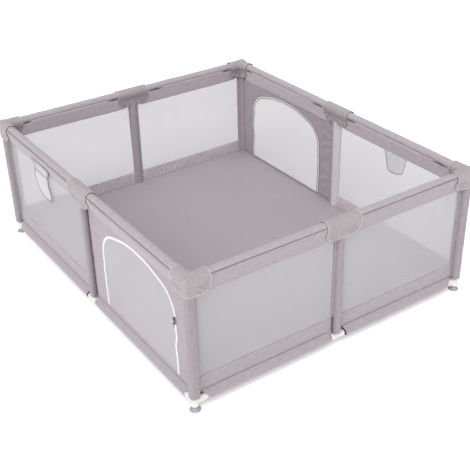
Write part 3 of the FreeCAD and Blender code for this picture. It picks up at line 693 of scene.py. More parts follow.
def low_band(side, half, seed):
    """The woven band between the net and the hem's seam."""
    near, far = NET_NEAR - 5 * MM, half_span(side) - WINDOW_INSET + 8 * MM
    x = np.linspace(near, far, int((far - near) / (5 * MM)))
    down = np.linspace(0, 1, 12)
    xx, dd = np.meshgrid(x, down, indexing="ij")
    z = BAND_TOP + (HEM_SEAM_Z - BAND_TOP) * dd
    y = PANEL_Y + wall_depth(side, half, xx, z) * (1 - dd) - (PANEL_Y - HEM_SEAM_Y) * dd
    slack = np.sin(math.pi * np.clip(dd * 0.85 + 0.1, 0, 1))
    ripple = np.cos(xx / (6.5 * MM) + 4 * rumple(xx, dd, 0.09, 0.8, seed))
    share = 0.25 + 0.75 * np.exp(-xx / 0.2) + 0.5 * np.exp(-(half_span(side) - xx) / 0.15)
    y += MM * slack * (1.5 * ripple * share + 1.6 * rumple(xx, dd, 0.07, 0.7, seed + 1))
    return np.stack([half * xx, y, z], -1), x, -down * (BAND_TOP - HEM_SEAM_Z)


HEM_SEAM_Z = 76 * MM
HEM_SEAM_Y = 6 * MM
STRIP_WIDTH = 11 * MM
SLITS = (("front", 17 * MM, 31 * MM, 66 * MM, 540 * MM), ("right", -27 * MM, -17 * MM, 62 * MM, 150 * MM))


def hem_profile(count=40):
    """Outline of the tunnel round the low tube, from its seam, outside, under and back."""
    seam = np.array([HEM_SEAM_Y, HEM_SEAM_Z - LOW_Z])
    radius = HEM_RADIUS - 0.6 * MM
    away = np.linalg.norm(seam)
    lean = math.atan2(seam[1], seam[0])
    touch = math.acos(radius / away)
    left = np.linspace(lean + touch, lean - touch + 2 * math.pi, count)
    arc = radius * np.stack([np.cos(left), np.sin(left)], -1)
    rows = [seam + (arc[0] - seam) * t for t in np.linspace(0, 1, 8, endpoint=False)]
    rows += list(arc)
    rows += [arc[-1] + (seam - arc[-1]) * t for t in np.linspace(0, 1, 9)[1:]]
    return np.array(rows)


def hem_tunnel(side, half, seed):
    near, far = HEM_NEAR, half_span(side) - HEM_INSET
    x = np.linspace(near, far, int((far - near) / (6 * MM)))
    outline = hem_profile()
    step = np.concatenate([[0], np.cumsum(np.linalg.norm(np.diff(outline, axis=0), axis=1))])
    xx = np.repeat(x[:, None], len(outline), 1)
    ss = np.repeat(step[None], len(x), 0)
    puff = 0.5 * rumple(xx, ss, 0.06, 0.03, seed) + 0.35 * np.cos(
        xx / (9 * MM) + ss / (14 * MM) + 3 * rumple(xx, ss, 0.1, 0.05, seed + 1))
    free = ease(ss, 0, 0.02) * ease(step[-1] - ss, 0, 0.02)
    share = ss / step[-1]
    slant = ease(share, 0, 0.3) * ease(0.8 - share, 0, 0.35)
    cut_back = 9 * MM * np.exp(-(xx - near) / 0.03) - 21 * MM * np.exp(-(far - xx) / 0.035)
    y = outline[None, :, 0] * (1 + MM * puff * free / HEM_RADIUS)
    z = LOW_Z + outline[None, :, 1] * (1 + MM * puff * free / HEM_RADIUS)
    return np.stack([half * (xx + slant * cut_back), y, z], -1), x, step


def hem_mouth_shade(points, half):
    """A dark sheet inside the hem at its two mouths, a little smaller and set back from them: painted
    shade for the hem's hollow.
    """
    parts = []
    for rows, inwards in ((points[:9], half), (points[-12:], -half)):
        shrunk = rows * np.array([1, 0.94, 0.94]) + np.array([3 * MM * inwards, 0, 0.06 * LOW_Z])
        steps = np.arange(len(rows)) * 6 * MM
        parts.append(grid_data(shrunk, steps, np.arange(rows.shape[1]) * 3 * MM, flip=half > 0))
    return merge(parts)


def window_net(side, half):
    near, far = NET_NEAR, half_span(side) - WINDOW_INSET + 3 * MM
    x = np.linspace(near, far, 90)
    z = np.linspace(BAND_TOP - 3 * MM, VALANCE_BOTTOM + 3 * MM, 50)
    xx, zz = np.meshgrid(x, z, indexing="ij")
    lean = NET_LEAN * ease(zz, BAND_TOP, VALANCE_BOTTOM)
    y = PANEL_Y + 0.8 * MM - lean + wall_depth(side, half, xx, zz)
    return np.stack([half * xx, y, zz], -1), x, z


def side_strip(side, half, at, width, seed):
    """A narrow binding beside a post, over the net's edge."""
    x = np.linspace(at - width / 2, at + width / 2, 6)
    z = np.linspace(HEM_SEAM_Z, VALANCE_BOTTOM + 4 * MM, 90)
    zz, xx = np.meshgrid(z, x, indexing="ij")
    crown = 1 - ((xx - at) / (width / 2)) ** 2
    y = PANEL_Y - 1.2 * MM - MM * (0.5 * crown + 0.35 * rumple(zz, xx, 0.05, 0.03, seed))
    y += wall_depth(side, half, xx, zz) - NET_LEAN * ease(zz, BAND_TOP, VALANCE_BOTTOM)
    return np.stack([half * xx, y, zz], -1), z, x


def post_slit(side, low_x, high_x, low_z, high_z, seed):
    """A dark strip in the slit beside a post's sleeve, painted shade in the slit, with the lacing that
    crosses it.
    """
    z = np.linspace(low_z, high_z, 60)
    wander = MM * rumple(z, 0 * z, 0.04, 1, seed)
    x = np.stack([low_x + wander, high_x + 0.5 * wander], -1)
    y = np.full_like(x, PANEL_Y - 4.5 * MM)
    points = np.stack([x, y, np.repeat(z[:, None], 2, 1)], -1)
    slit_shade = grid_data(points, z, np.array([0, high_x - low_x]))
    stitches = []
    for at in np.arange(low_z + 8 * MM, high_z, 12 * MM):
        ends = np.array([[low_x - 1 * MM, PANEL_Y - 5 * MM, at],
                         [high_x + 2 * MM, PANEL_Y - 5 * MM, at + 3 * MM]])
        stitches.append(sweep(ends, 1.3 * MM, 6))
    return slit_shade, merge(stitches)


def has_door(side, half):
    return side in LONG_SIDES and half > 0


def make_walls():
    for number, side in enumerate(TURN):
        for half, word in ((-1, "left"), (1, "right")):
            seed = 500 + 40 * number + 20 * (half > 0)
            span = half_span(side)
            points, along, across = hem_tunnel(side, half, seed)
            hem = cloth_piece(f"hem_{side}_{word}", points, along, across, CLOTH["cover"],
                              side=side)
            for word_of, data, look in (("hem_mouth_shade", hem_mouth_shade(points, half), "shadow"),
                                        ("seam_gap_shade", seam_gap_shade(side, half, seed + 15), "shadow"),
                                        ("seams", seam_cords(side, half, seed + 18), "seam")):
                name = f"{word_of}_{side}_{word}"
                link(name, raw_mesh(name, moved(data[0], side_place(side)), *data[1:]), CLOTH[look])
            # The inner faces use the cloth painted lighter, as painted light.
            points, along, across = inner_valance(side, half, seed + 12)
            inner = cloth_piece(f"inner_valance_{side}_{word}", points, along, across,
                                CLOTH["lit_lining"], 0.8 * MM, side=side)
            if has_door(side, half):
                continue
            points, along, across = inner_band(side, half, seed + 21)
            inner = cloth_piece(f"inner_band_{side}_{word}", points, along, across,
                                CLOTH["lit_lining"], 0.8 * MM, side=side)
            points, along, across = valance(side, half, seed + 3)
            band = cloth_piece(f"valance_{side}_{word}", points, along, across, CLOTH["cover"],
                               side=side)
            points, along, across = low_band(side, half, seed + 6)
            band = cloth_piece(f"low_band_{side}_{word}", points, along, across, CLOTH["cover"],
                               side=side)
            points, along, across = window_net(side, half)
            net_piece = cloth_piece(f"window_{side}_{word}", points, along, across,
                                    CLOTH["window"], 0.3 * MM, side=side)
            net_piece.modifiers.clear()
            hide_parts(f"mesh_{side}")
            for place, at in (("post", NET_NEAR + 3 * MM), ("corner", span - WINDOW_INSET)):
                points, along, across = side_strip(side, half, at, STRIP_WIDTH, seed + 9)
                strip = cloth_piece(f"binding_{side}_{word}_{place}", points, along, across,
                                    CLOTH["cover"], 0.8 * MM, side=side)
        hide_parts(f"cover_{side}")
    # Each slit is a dark strip of painted shade, crossed by lacing.
    for number, (side, low_x, high_x, low_z, high_z) in enumerate(SLITS):
        slit_shade, lacing = post_slit(side, low_x, high_x, low_z, high_z, 880 + number)
        for kind, data, look in (("slit_shade", slit_shade, "shadow"), ("lacing", lacing, "sleeve")):
            name = f"{kind}_{side}"
            link(name, raw_mesh(name, moved(data[0], side_place(side)), *data[1:]), CLOTH[look])


# ---------------------------------------------------------------- zip doors


def arch_line(step=7 * MM):
    """The door's outline from its right foot over the crown to the left foot, and its normals."""
    inner = DOOR_RISE - DOOR_CORNER
    below = ((DOOR_HALF - DOOR_CORNER) ** 2 - inner ** 2) / (2 * inner)
    meet = math.atan2(below, DOOR_HALF - DOOR_CORNER)
    crown = DOOR_RISE + below

    def spaced(length):
        return max(2, int(length / step))

    leg = np.linspace(DOOR_SILL, DOOR_SPRING, spaced(DOOR_SPRING - DOOR_SILL), endpoint=False)
    points = [(DOOR_HALF, z, 1, 0) for z in leg]
    for angle in np.linspace(0, meet, spaced(DOOR_CORNER * meet), endpoint=False):
        c, s = math.cos(angle), math.sin(angle)
        points.append((DOOR_HALF - DOOR_CORNER + DOOR_CORNER * c, DOOR_SPRING + DOOR_CORNER * s, c, s))
    for angle in np.linspace(meet, math.pi / 2, spaced(crown * (math.pi / 2 - meet))):
        c, s = math.cos(angle), math.sin(angle)
        points.append((crown * c, DOOR_SPRING - below + crown * s, c, s))
    right = np.array(points)
    left = right[-2::-1] * np.array([-1, 1, -1, 1])
    line, normal = np.vstack([right, left])[:, :2], np.vstack([right, left])[:, 2:]
    loose = ease(line[:, 1], 0.13, 0.17) * ease(0.33 - line[:, 1], 0, 0.04)
    crown = ease(line[:, 1], DOOR_SPRING + 0.05, DOOR_SPRING + 0.12)
    wave = 5 * rumple(line[:, 1], np.sign(line[:, 0]), 0.055, 1, 860) * loose
    wave += 1.6 * rumple(line[:, 0], 0 * line[:, 0], 0.09, 1, 861) * crown
    return line + normal * MM * wave[:, None], normal


def door_folds(side, x, z):
    """Creases in the woven panel round a door; x is from the middle post."""
    seed = 900 if side == "front" else 950
    span = HALF_LONG
    flat = wall_depth(side, 1, x, z) * 0.8
    legs = np.exp(-((x - 0.075) / 0.06) ** 2) * ease(z, 0.1, 0.2) * ease(0.56 - z, 0, 0.1)
    slant = np.cos((z + 0.55 * x) / (9.5 * MM) + 2.5 * rumple(x, z, 0.05, 0.12, seed))
    folds = 2.3 * MM * legs * slant
    folds += fan(x, z, (0.03, 0.57), math.radians(-50), 0.9, 7, 0.17, 3.2 * MM)
    folds += fan(x, z, (span - 0.03, 0.08), math.radians(135), 0.8, 6, 0.15, 4.2 * MM)
    folds += fan(x, z, (span - 0.06, 0.57), math.radians(-140), 0.9, 6, 0.15, 2.4 * MM)
    folds += fan(x, z, (0.03, 0.08), math.radians(50), 0.8, 5, 0.1, 1.4 * MM)
    return flat + folds


def door_panel(side):
    """The woven panel round the doorway: a grid from the arch out to the panel's edges."""
    line, normal = arch_line()
    near, far = NET_NEAR - 3 * MM, HALF_LONG - WINDOW_INSET + 8 * MM
    depth, height, _ = hang_path(VALANCE_ANGLE, -PANEL_Y, VALANCE_BOTTOM - 10 * MM, 60)
    top = height[0]
    start = np.stack([DOOR_X + line[:, 0], line[:, 1]], -1) + ZIP_OUTER * 0.4 * normal
    travelled = np.concatenate([[0], np.cumsum(np.linalg.norm(np.diff(line, axis=0), axis=1))])
    share = travelled / travelled[-1]
    leg, width = top - DOOR_SILL, far - near
    total = 2 * leg + width
    outer = np.array([[far, DOOR_SILL], [far, top], [near, top], [near, DOOR_SILL]])
    stops = np.array([0, leg, leg + width, total]) / total
    corners = [int(np.argmin(np.abs(share - stop))) for stop in stops[1:3]]
    share[corners[0]], share[corners[1]] = stops[1], stops[2]
    end = np.stack([np.interp(share, stops, outer[:, 0]), np.interp(share, stops, outer[:, 1])], -1)
    out = np.linspace(0, 1, 34)[None, :, None]
    flat = start[:, None] * (1 - out) + end[:, None] * out
    x, z = flat[..., 0], flat[..., 1]
    hang = ease(z, VALANCE_BOTTOM, RAIL_Z)
    y = door_folds(side, x, z) * (1 - hang) * ease(out[..., 0] + 0 * x, 0, 0.12)
    y -= np.interp(z, height[::-1], depth[::-1]) * (0.86 + 0.14 * beyond_caps(x, HALF_LONG))
    return np.stack([x, y, z], -1), x, z


def sill_band(side):
    """The strip of woven cloth between the door's sill and the hem."""
    near, far = NET_NEAR - 3 * MM, HALF_LONG - WINDOW_INSET + 8 * MM
    x = np.linspace(near, far, 150)
    z = np.linspace(HEM_SEAM_Z, DOOR_SILL, 4)
    xx, zz = np.meshgrid(x, z, indexing="ij")
    share = (zz - HEM_SEAM_Z) / (DOOR_SILL - HEM_SEAM_Z)
    y = HEM_SEAM_Y + (PANEL_Y - HEM_SEAM_Y) * share
    return np.stack([xx, y, zz], -1), x, z


def zip_strip(line, normal, inner, outer, lift, thickness):
    """A flat strip that follows the arch, from one offset to the other."""
    base = np.stack([DOOR_X + line[:, 0], line[:, 1]], -1)
    low = base + normal * inner
    high = base + normal * outer
    y = PANEL_Y + lift
    rows = []
    for edge, depth in ((low, -1), (high, -1), (high, 1), (low, 1)):
        rows.append(np.stack([edge[:, 0], np.full(len(edge), y + depth * thickness / 2), edge[:, 1]], -1))
    points = np.stack(rows, 1)
    step = np.concatenate([[0], np.cumsum(np.linalg.norm(np.diff(line, axis=0), axis=1))])
    return grid_data(points, step, np.array([0, 1, 1.2, 2.2, 2.4]) * abs(outer - inner), wrap=True)


def teeth(line, normal, side_of_chain, pitch=2.2 * MM):
    """One row of coil teeth, each a small rounded bar across the chain."""
    step = np.concatenate([[0], np.cumsum(np.linalg.norm(np.diff(line, axis=0), axis=1))])
    at = np.arange(pitch, step[-1] - pitch, pitch) + (pitch / 2 if side_of_chain > 0 else 0)
    base = np.stack([np.interp(at, step, line[:, 0]), np.interp(at, step, line[:, 1])], -1)
    out = np.stack([np.interp(at, step, normal[:, 0]), np.interp(at, step, normal[:, 1])], -1)
    out /= np.linalg.norm(out, axis=1)[:, None]
    along = np.stack([-out[:, 1], out[:, 0]], -1)
    reach, half_width, half_height = 2.9 * MM, 0.45 * MM, 1.2 * MM
    centre = base + out * (ZIP_OUTER - ZIP_INNER) / 2
    parts = []
    for index in range(len(at)):
        tip = centre[index] - side_of_chain * out[index] * 0.6 * MM
        root = centre[index] + side_of_chain * out[index] * reach
        sides = []
        for end, scale in ((root, 0.8), (tip, 1.15)):
            ring = []
            for a, b in ((-1, -1), (1, -1), (1, 1), (-1, 1)):
                p = end + along[index] * a * half_width * scale
                ring.append([DOOR_X + p[0], PANEL_Y + b * half_height * scale, p[1]])
            sides.append(ring)
        block = np.array(sides).reshape(-1, 3)
        faces = np.array([[0, 1, 5, 4], [1, 2, 6, 5], [2, 3, 7, 6], [3, 0, 4, 7], [3, 2, 1, 0],
                          [4, 5, 6, 7]])
        parts.append((block, faces, np.zeros((6, 4, 2))))
    return merge(parts)


def leaf_grid(side):
    """The net inside the arch: rows between the two halves of the outline."""
    line, normal = arch_line()
    inside = line - normal * (ZIP_INNER + 0.3 * MM)
    half = len(line) // 2
    right, left = inside[: half + 1], inside[half:][::-1]
    share = np.linspace(0, 1, 60)[None, :, None]
    flat = right[:, None] * (1 - share) + left[:, None] * share
    flat[-1] = inside[half]
    x, z = DOOR_X + flat[..., 0], flat[..., 1]
    span = np.clip((DOOR_HALF ** 2 - flat[..., 0] ** 2) / DOOR_HALF ** 2, 0, 1)
    rise = ease(z, DOOR_SILL, DOOR_SILL + 0.08) * ease(DOOR_SPRING + DOOR_RISE - z, 0, 0.08)
    seed = 980 if side == "front" else 985
    sag = 2.2 * rumple(x, z, 0.16, 0.2, seed) + 0.8 * rumple(x, z, 0.06, 0.09, seed + 1)
    y = PANEL_Y + MM * sag * ease(span, 0, 0.35) * rise
    return np.stack([x, y, z], -1), x, z


def make_doors():
    line, normal = arch_line()
    for side in LONG_SIDES:
        place = side_place(side)
        points, along, across = door_panel(side)
        panel = cloth_piece(f"door_panel_{side}", points, along, across, CLOTH["cover"],
                            side=side)
        points, along, across = sill_band(side)
        sill = cloth_piece(f"sill_band_{side}", points, along, across, CLOTH["cover"],
                           side=side)
        mid = (ZIP_OUTER - ZIP_INNER) / 2
        for word, inner, outer, sign in (("panel", mid + 0.2 * MM, ZIP_OUTER + 2 * MM, 1),
                                         ("leaf", -ZIP_INNER - 2 * MM, mid - 0.2 * MM, -1)):
            strip = zip_strip(line, normal, inner, outer, 0, 1.5 * MM)
            row = teeth(line, normal, sign)
            edge = -ZIP_INNER - 2.4 * MM if sign < 0 else ZIP_OUTER + 2.4 * MM
            path = np.stack([DOOR_X + line[:, 0] + normal[:, 0] * edge,
                             np.full(len(line), PANEL_Y + 1.4 * MM), line[:, 1] + normal[:, 1] * edge], -1)
            for kind, data, material in (("tape", strip, CLOTH["zip_tape"]),
                                         ("teeth", row, HARD["teeth"]),
                                         ("edging", sweep(path, 1.4 * MM, 6), CLOTH["edging"])):
                name = f"zip_{kind}_{word}_{side}"
                data = (moved(data[0], place), data[1], data[2])
                body = "frame" if sign > 0 else None
                piece = link(name, raw_mesh(name, *data, smooth=kind != "teeth"), material,
                             body)
                if sign < 0:
                    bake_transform(piece)
                elif kind == "tape":
                    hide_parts(f"zip_chain_{side}")
        points, along, across = leaf_grid(side)
        data = grid_data(points, along, across)
        data = (moved(data[0], place), data[1], data[2])
        leaf = link(f"door_net_{side}", raw_mesh(f"door_net_{side}", *data), CLOTH["door"],
                    None)
        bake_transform(leaf)
        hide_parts(f"door_leaf_{side}")


# ---------------------------------------------------------------- post sleeves


def sleeve_tube(radius, seed, square, inner):
    """A soft tube round a post; square above 2 gives it faces and corners, except towards inner."""
    z = np.linspace(SLEEVE_BOTTOM, SLEEVE_TOP, 110)
    around = np.linspace(0, 2 * math.pi, 48, endpoint=False)
    zz, tt = np.meshgrid(z, around, indexing="ij")
    shape = (np.abs(np.cos(tt)) ** square + np.abs(np.sin(tt)) ** square) ** (-1 / square)
    inwards = np.clip(np.cos(tt - inner), 0, 1)
    shape = shape * (1 - inwards) + 0.98 * inwards
    loop = np.cos(tt) * radius
    folds = 0.5 * rumple(zz, loop, 0.09, 0.02, seed) + 0.3 * rumple(zz, loop, 0.03, 0.015, seed + 1)
    bunch = 0.5 * np.cos(zz / (7 * MM) + tt) * np.exp(-(zz - SLEEVE_BOTTOM) / 0.03)
    hem = 0.5 * np.exp(-((zz - SLEEVE_BOTTOM - 7 * MM) / (1.2 * MM)) ** 2)
    r = (radius - 1.2 * MM) * shape + MM * (folds + bunch - hem)
    points = np.stack([r * np.cos(tt), r * np.sin(tt), zz], -1)
    return grid_data(points, z, np.linspace(0, 2 * math.pi * radius, 49), wrap=True, flip=True)


def make_sleeves():
    mid_radius = 18 * MM
    spots = [(f"corner_{corner}", corner_place(corner), SLEEVE_RADIUS + 1.5 * MM, 3.4, math.pi / 4)
             for corner in CORNER_TURN]
    spots += [(f"middle_{side}", side_place(side), mid_radius, 2.8, math.pi / 2) for side in TURN]
    for number, (word, place, radius, square, inner) in enumerate(spots):
        points, faces, uvs = sleeve_tube(radius, 1200 + 5 * number, square, inner)
        name = f"sleeve_{word}"
        piece = link(name, raw_mesh(name, moved(points, place), faces, uvs), CLOTH["sleeve"])
        solidify(piece, 1 * MM, -1)
        if number == 0:
            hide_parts("post_sleeves")


# ---------------------------------------------------------------- caps over the top joints


def add_block(bm, low, high):
    made = bmesh.ops.create_cube(bm, size=1)
    scale = [h - l for l, h in zip(low, high)]
    centre = [(h + l) / 2 for l, h in zip(low, high)]
    bmesh.ops.scale(bm, vec=scale, verts=made["verts"])
    bmesh.ops.translate(bm, vec=centre, verts=made["verts"])


def add_rod(bm, radius, start, end):
    start, end = Vector(start), Vector(end)
    direction = end - start
    place = Matrix.Translation((start + end) / 2) @ direction.to_track_quat("Z", "Y").to_matrix().to_4x4()
    bmesh.ops.create_cone(bm, cap_ends=True, segments=40, radius1=radius, radius2=radius,
                          depth=direction.length, matrix=place)


def cap_blank(arms, reach):
    """A closed, smoothly blended solid of a cap's outside, longer than the cap at each opening."""
    bm = bmesh.new()
    bmesh.ops.create_uvsphere(bm, u_segments=32, v_segments=24, radius=CAP_RADIUS,
                              matrix=Matrix.Translation((0, 0, RAIL_Z)))
    low = CAP_BOTTOM - 20 * MM
    beyond = reach + 16 * MM
    half = 21 * MM
    hub = 23 * MM
    heel = 22.5 * MM
    add_rod(bm, hub, (0, 0, low), (0, 0, RAIL_Z))
    if len(arms) == 2 and abs(arms[0][0] * arms[1][0] + arms[0][1] * arms[1][1]) < 0.5:
        add_block(bm, (-heel, -heel, low), (heel, heel, RAIL_Z))
        add_block(bm, (-0.86 * CAP_RADIUS, -0.86 * CAP_RADIUS, RAIL_Z - 24 * MM),
                  (0.5 * CAP_RADIUS, 0.5 * CAP_RADIUS, RAIL_Z + 0.84 * CAP_RADIUS))
    for dx, dy in arms:
        add_rod(bm, CAP_RADIUS, (0, 0, RAIL_Z), (dx * beyond, dy * beyond, RAIL_Z))
        across = Vector((-dy, dx, 0)) * half
        a = Vector((0, 0, low)) - across
        b = Vector((dx * beyond, dy * beyond, RAIL_Z)) + across
        add_block(bm, [min(p, q) for p, q in zip(a, b)], [max(p, q) for p, q in zip(a, b)])
    mesh = bpy.data.meshes.new("cap_blank")
    bm.to_mesh(mesh)
    bm.free()
    blank = bpy.data.objects.new("cap_blank", mesh)
    bpy.context.scene.collection.objects.link(blank)
    remesh = blank.modifiers.new("remesh", "REMESH")
    remesh.mode = "VOXEL"
    remesh.voxel_size = 2.6 * MM
    smooth = blank.modifiers.new("smooth", "SMOOTH")
    smooth.factor = 0.5
    smooth.iterations = 8
    graph = bpy.context.evaluated_depsgraph_get()
    made = bpy.data.meshes.new_from_object(blank.evaluated_get(graph))
    bpy.data.objects.remove(blank)
    return made


def box_uvs(mesh):
    """UVs in metres, taken along the two axes that each face looks most nearly across."""
    layer = mesh.uv_layers.new(name="cloth")
    count = len(mesh.loops)
    vertex = np.empty(count, int)
    mesh.loops.foreach_get("vertex_index", vertex)
    points = np.empty(len(mesh.vertices) * 3)
    mesh.vertices.foreach_get("co", points)
    points = points.reshape(-1, 3)[vertex]
    normals = np.empty(len(mesh.polygons) * 3)
    mesh.polygons.foreach_get("normal", normals)
    totals = np.empty(len(mesh.polygons), int)
    mesh.polygons.foreach_get("loop_total", totals)
    axis = np.repeat(np.argmax(np.abs(normals.reshape(-1, 3)), 1), totals)
    first, second = np.array([1, 0, 0])[axis], np.array([2, 2, 1])[axis]
    rows = np.arange(count)
    uvs = np.stack([points[rows, first], points[rows, second]], -1)
    layer.data.foreach_set("uv", uvs.astype(np.float32).ravel())


def boundary_loops(bm):
    """The open edges of a mesh as closed lists of points."""
    edges = {edge for edge in bm.edges if edge.is_boundary}
    loops = []
    while edges:
        edge = edges.pop()
        first, vertex = edge.verts
        loop = [first.co.copy()]
        while vertex is not first:
            loop.append(vertex.co.copy())
            following = next((e for e in vertex.link_edges if e in edges), None)
            if following is None:
                break
            edges.remove(following)
            vertex = following.other_vert(vertex)
        if len(loop) > 12:
            loops.append(np.array([tuple(p) for p in loop]))
    return loops


def even_loop(loop, step, passes=3):
    """A closed loop resampled at even steps and lightly smoothed."""
    closed = np.vstack([loop, loop[:1]])
    travelled = np.concatenate([[0], np.cumsum(np.linalg.norm(np.diff(closed, axis=0), axis=1))])
    at = np.linspace(0, travelled[-1], max(16, int(travelled[-1] / step)), endpoint=False)
    even = np.stack([np.interp(at, travelled, closed[:, k]) for k in range(3)], -1)
    for _ in range(passes):
        even = (np.roll(even, 1, 0) + 2 * even + np.roll(even, -1, 0)) / 4
    return even


def kept_runs(line, kept):
    """The unbroken stretches of a closed line whose points are kept."""
    if kept.all():
        return [np.vstack([line, line[:1]])]
    start = int(np.argmin(kept))
    line, kept = np.roll(line, -start, 0), np.roll(kept, -start)
    edges = np.flatnonzero(np.diff(np.concatenate([[0], kept.astype(int), [0]])))
    return [line[a:b] for a, b in zip(edges[::2], edges[1::2]) if b - a > 3]


def cap_wrinkles(points, normals, arms, seed):
    """Moves a cap's points along their normals: diagonal folds on the flaps, small slack above."""
    x, y, z = points.T
    along = np.max([x * dx + y * dy for dx, dy in arms], axis=0)
    low = ease(RAIL_Z - z, -5 * MM, 35 * MM)
    wander = 2.5 * rumple(along, z, 0.03, 0.04, seed)
    diagonal = np.cos((along + 0.9 * (z - CAP_BOTTOM)) / (4.6 * MM) + wander)
    slack = rumple(along, z + y, 0.035, 0.03, seed + 1)
    shift = MM * (2.2 * diagonal * low * ease(along, 12 * MM, 35 * MM) + 1.1 * slack)
    return points + normals * shift[:, None]


def make_cap(name, node, arms, reach, place, seed):
    mesh = cap_blank(arms, reach)
    points = np.empty(len(mesh.vertices) * 3)
    normals = np.empty(len(mesh.vertices) * 3)
    mesh.vertices.foreach_get("co", points)
    mesh.vertices.foreach_get("normal", normals)
    points = cap_wrinkles(points.reshape(-1, 3), normals.reshape(-1, 3), arms, seed)
    mesh.vertices.foreach_set("co", points.ravel())
    bm = bmesh.new()
    bm.from_mesh(mesh)
    free = RAIL_Z - CAP_RADIUS
    hub_edge = 31 * MM
    cuts = [((0, 0, CAP_BOTTOM), (0, 0, -1))]
    for dx, dy in arms:
        cuts.append(((dx * reach, dy * reach, RAIL_Z), (dx, dy, 0.1)))
        for turn in (0.25, 0.55, 0.85, 1.15, 1.4):
            out = hub_edge + (reach - hub_edge) * math.sin(turn)
            low = free - (free - CAP_BOTTOM) * math.cos(turn)
            lean_out = math.sin(turn) / (reach - hub_edge)
            lean_down = math.cos(turn) / (free - CAP_BOTTOM)
            cuts.append(((dx * out, dy * out, low), (dx * lean_out, dy * lean_out, -lean_down)))
    for at, normal in cuts:
        geometry = list(bm.verts) + list(bm.edges) + list(bm.faces)
        bmesh.ops.bisect_plane(bm, geom=geometry, plane_co=at, plane_no=normal, clear_outer=True)
    loops = boundary_loops(bm)
    bm.to_mesh(mesh)
    bm.free()
    mesh.polygons.foreach_set("use_smooth", [True] * len(mesh.polygons))
    box_uvs(mesh)
    mesh.transform(place)
    piece = link(name, mesh, CLOTH["cap"])
    solidify(piece, 1.8 * MM, -1)
    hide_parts(node)
    cords = []
    for loop in loops:
        line = even_loop(loop, 4 * MM)
        indoors = line[:, 1] > 6 * MM
        if (0, 1) in arms:
            indoors &= line[:, 0] > 6 * MM
        outdoors = ~indoors | (line[:, 2] > RAIL_Z - 12 * MM)
        cords += [sweep(run, 1.5 * MM, 8) for run in kept_runs(line, outdoors)]
    points, faces, uvs = merge(cords)
    link(name + "_piping", raw_mesh(name + "_piping", moved(points, place), faces, uvs),
         CLOTH["piping"])
    return piece


def make_caps():
    for number, corner in enumerate(CORNER_TURN):
        piece = make_cap(f"cap_{corner}", f"corner_cap_{corner}", ((1, 0), (0, 1)),
                         CAP_ARM - 7 * MM,
                         corner_place(corner), 1500 + number)
    for number, side in enumerate(TURN):
        piece = make_cap(f"cap_middle_{side}", f"mid_cap_{side}", ((1, 0), (-1, 0)), CAP_HALF,
                         side_place(side), 1520 + number)


# ---------------------------------------------------------------- hanging pockets

POCKET_BACK_Y = -12.5 * MM
POCKET_DEPTH = 14 * MM
POCKET_EDGES = {
    "front": ([-0.5, -0.48, -0.5, -0.478, -0.436], [-0.318, -0.338, -0.348, -0.318, -0.328],
              [0.583, 0.54, 0.49, 0.44, 0.406], [0.583, 0.54, 0.49, 0.44, 0.406]),
    "back": ([-0.498, -0.49, -0.478, -0.462, -0.43], [-0.322, -0.33, -0.345, -0.362, -0.38],
             [0.583, 0.54, 0.49, 0.43, 0.418], [0.583, 0.54, 0.49, 0.425, 0.414]),
}


def pocket_grid(side):
    """Points of a flat pouch, from its sewn top down, between its left and right edges."""
    left_x, right_x, left_z, right_z = (np.array(column) for column in POCKET_EDGES[side])
    knots = np.linspace(0, 1, len(left_x))
    rows, columns = np.linspace(0, 1, 48), np.linspace(0, 1, 40)
    edges = [np.interp(rows, knots, values) for values in (left_x, right_x, left_z, right_z)]
    edges = [np.convolve(np.pad(edge, 3, "edge"), np.ones(7) / 7, "valid") for edge in edges]
    left_x, right_x, left_z, right_z = (edge[:, None] for edge in edges)
    dd, cc = np.meshgrid(rows, columns, indexing="ij")
    round_foot = 1 - 0.16 * ease(dd, 0.7, 1) * np.abs(2 * cc - 1) ** 3
    centre, half = (left_x + right_x) / 2, (right_x - left_x) / 2
    xx = centre + half * (2 * cc - 1) * round_foot
    zz = left_z * (1 - cc) + right_z * cc
    seed = 1700 if side == "front" else 1710
    swell = np.sqrt(np.clip(1 - (2 * cc - 1) ** 2, 0, 1)) * ease(dd, 0.15, 0.75) * (1 - dd ** 6)
    return xx, zz, swell, rumple(xx, zz, 0.05, 0.07, seed)


def make_pockets():
    for side in LONG_SIDES:
        xx, zz, swell, ripple = pocket_grid(side)
        place = side_place(side)
        sag = (POCKET_DEPTH - 2.5 * MM) * swell
        depth, height, _ = hang_path(VALANCE_ANGLE, NET_LEAN - PANEL_Y, VALANCE_BOTTOM, 40)
        over_band = -np.interp(zz, height[::-1], depth[::-1]) - 3 * MM
        rest = np.minimum(POCKET_BACK_Y, over_band)
        layers = {"back": rest - 0.8 * MM - MM * 0.6 * ripple,
                  "front": np.minimum(rest, POCKET_BACK_Y - sag) - 1.5 * MM - MM * ripple * swell,
                  "patch": rest - 2.4 * MM - MM * 0.4 * ripple}
        spans = {"back": slice(None), "front": slice(11, None), "patch": slice(0, 16)}
        body = f"pocket_{side}"
        made = {}
        for word, yy in layers.items():
            rows = spans[word]
            data = grid_data(np.stack([xx, yy, zz], -1)[rows], xx[rows], zz[rows],
                             flip=word != "back")
            name = f"pocket_{word}_{side}"
            cloth = CLOTH["patch" if word == "patch" else "pocket"]
            made[word] = link(name, raw_mesh(name, moved(data[0], place), *data[1:]), cloth,
                              None)
            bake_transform(made[word])
        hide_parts(body)
        rim = np.stack([xx, layers["back"] - 1.2 * MM, zz], -1)
        outline = np.vstack([rim[:, 0], rim[-1, 1:], rim[-2::-1, -1]])
        mouth = np.stack([xx, layers["patch"] - 1 * MM, zz], -1)[15]
        data = merge([sweep(outline, 2.6 * MM, 8, flat=0.6), sweep(mouth, 1.6 * MM, 8, flat=0.6)])
        name = f"pocket_binding_{side}"
        binding = link(name, raw_mesh(name, moved(data[0], place), *data[1:]), CLOTH["binding"],
                       None)
        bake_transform(binding)


# ---------------------------------------------------------------- floor and linings inside the pen

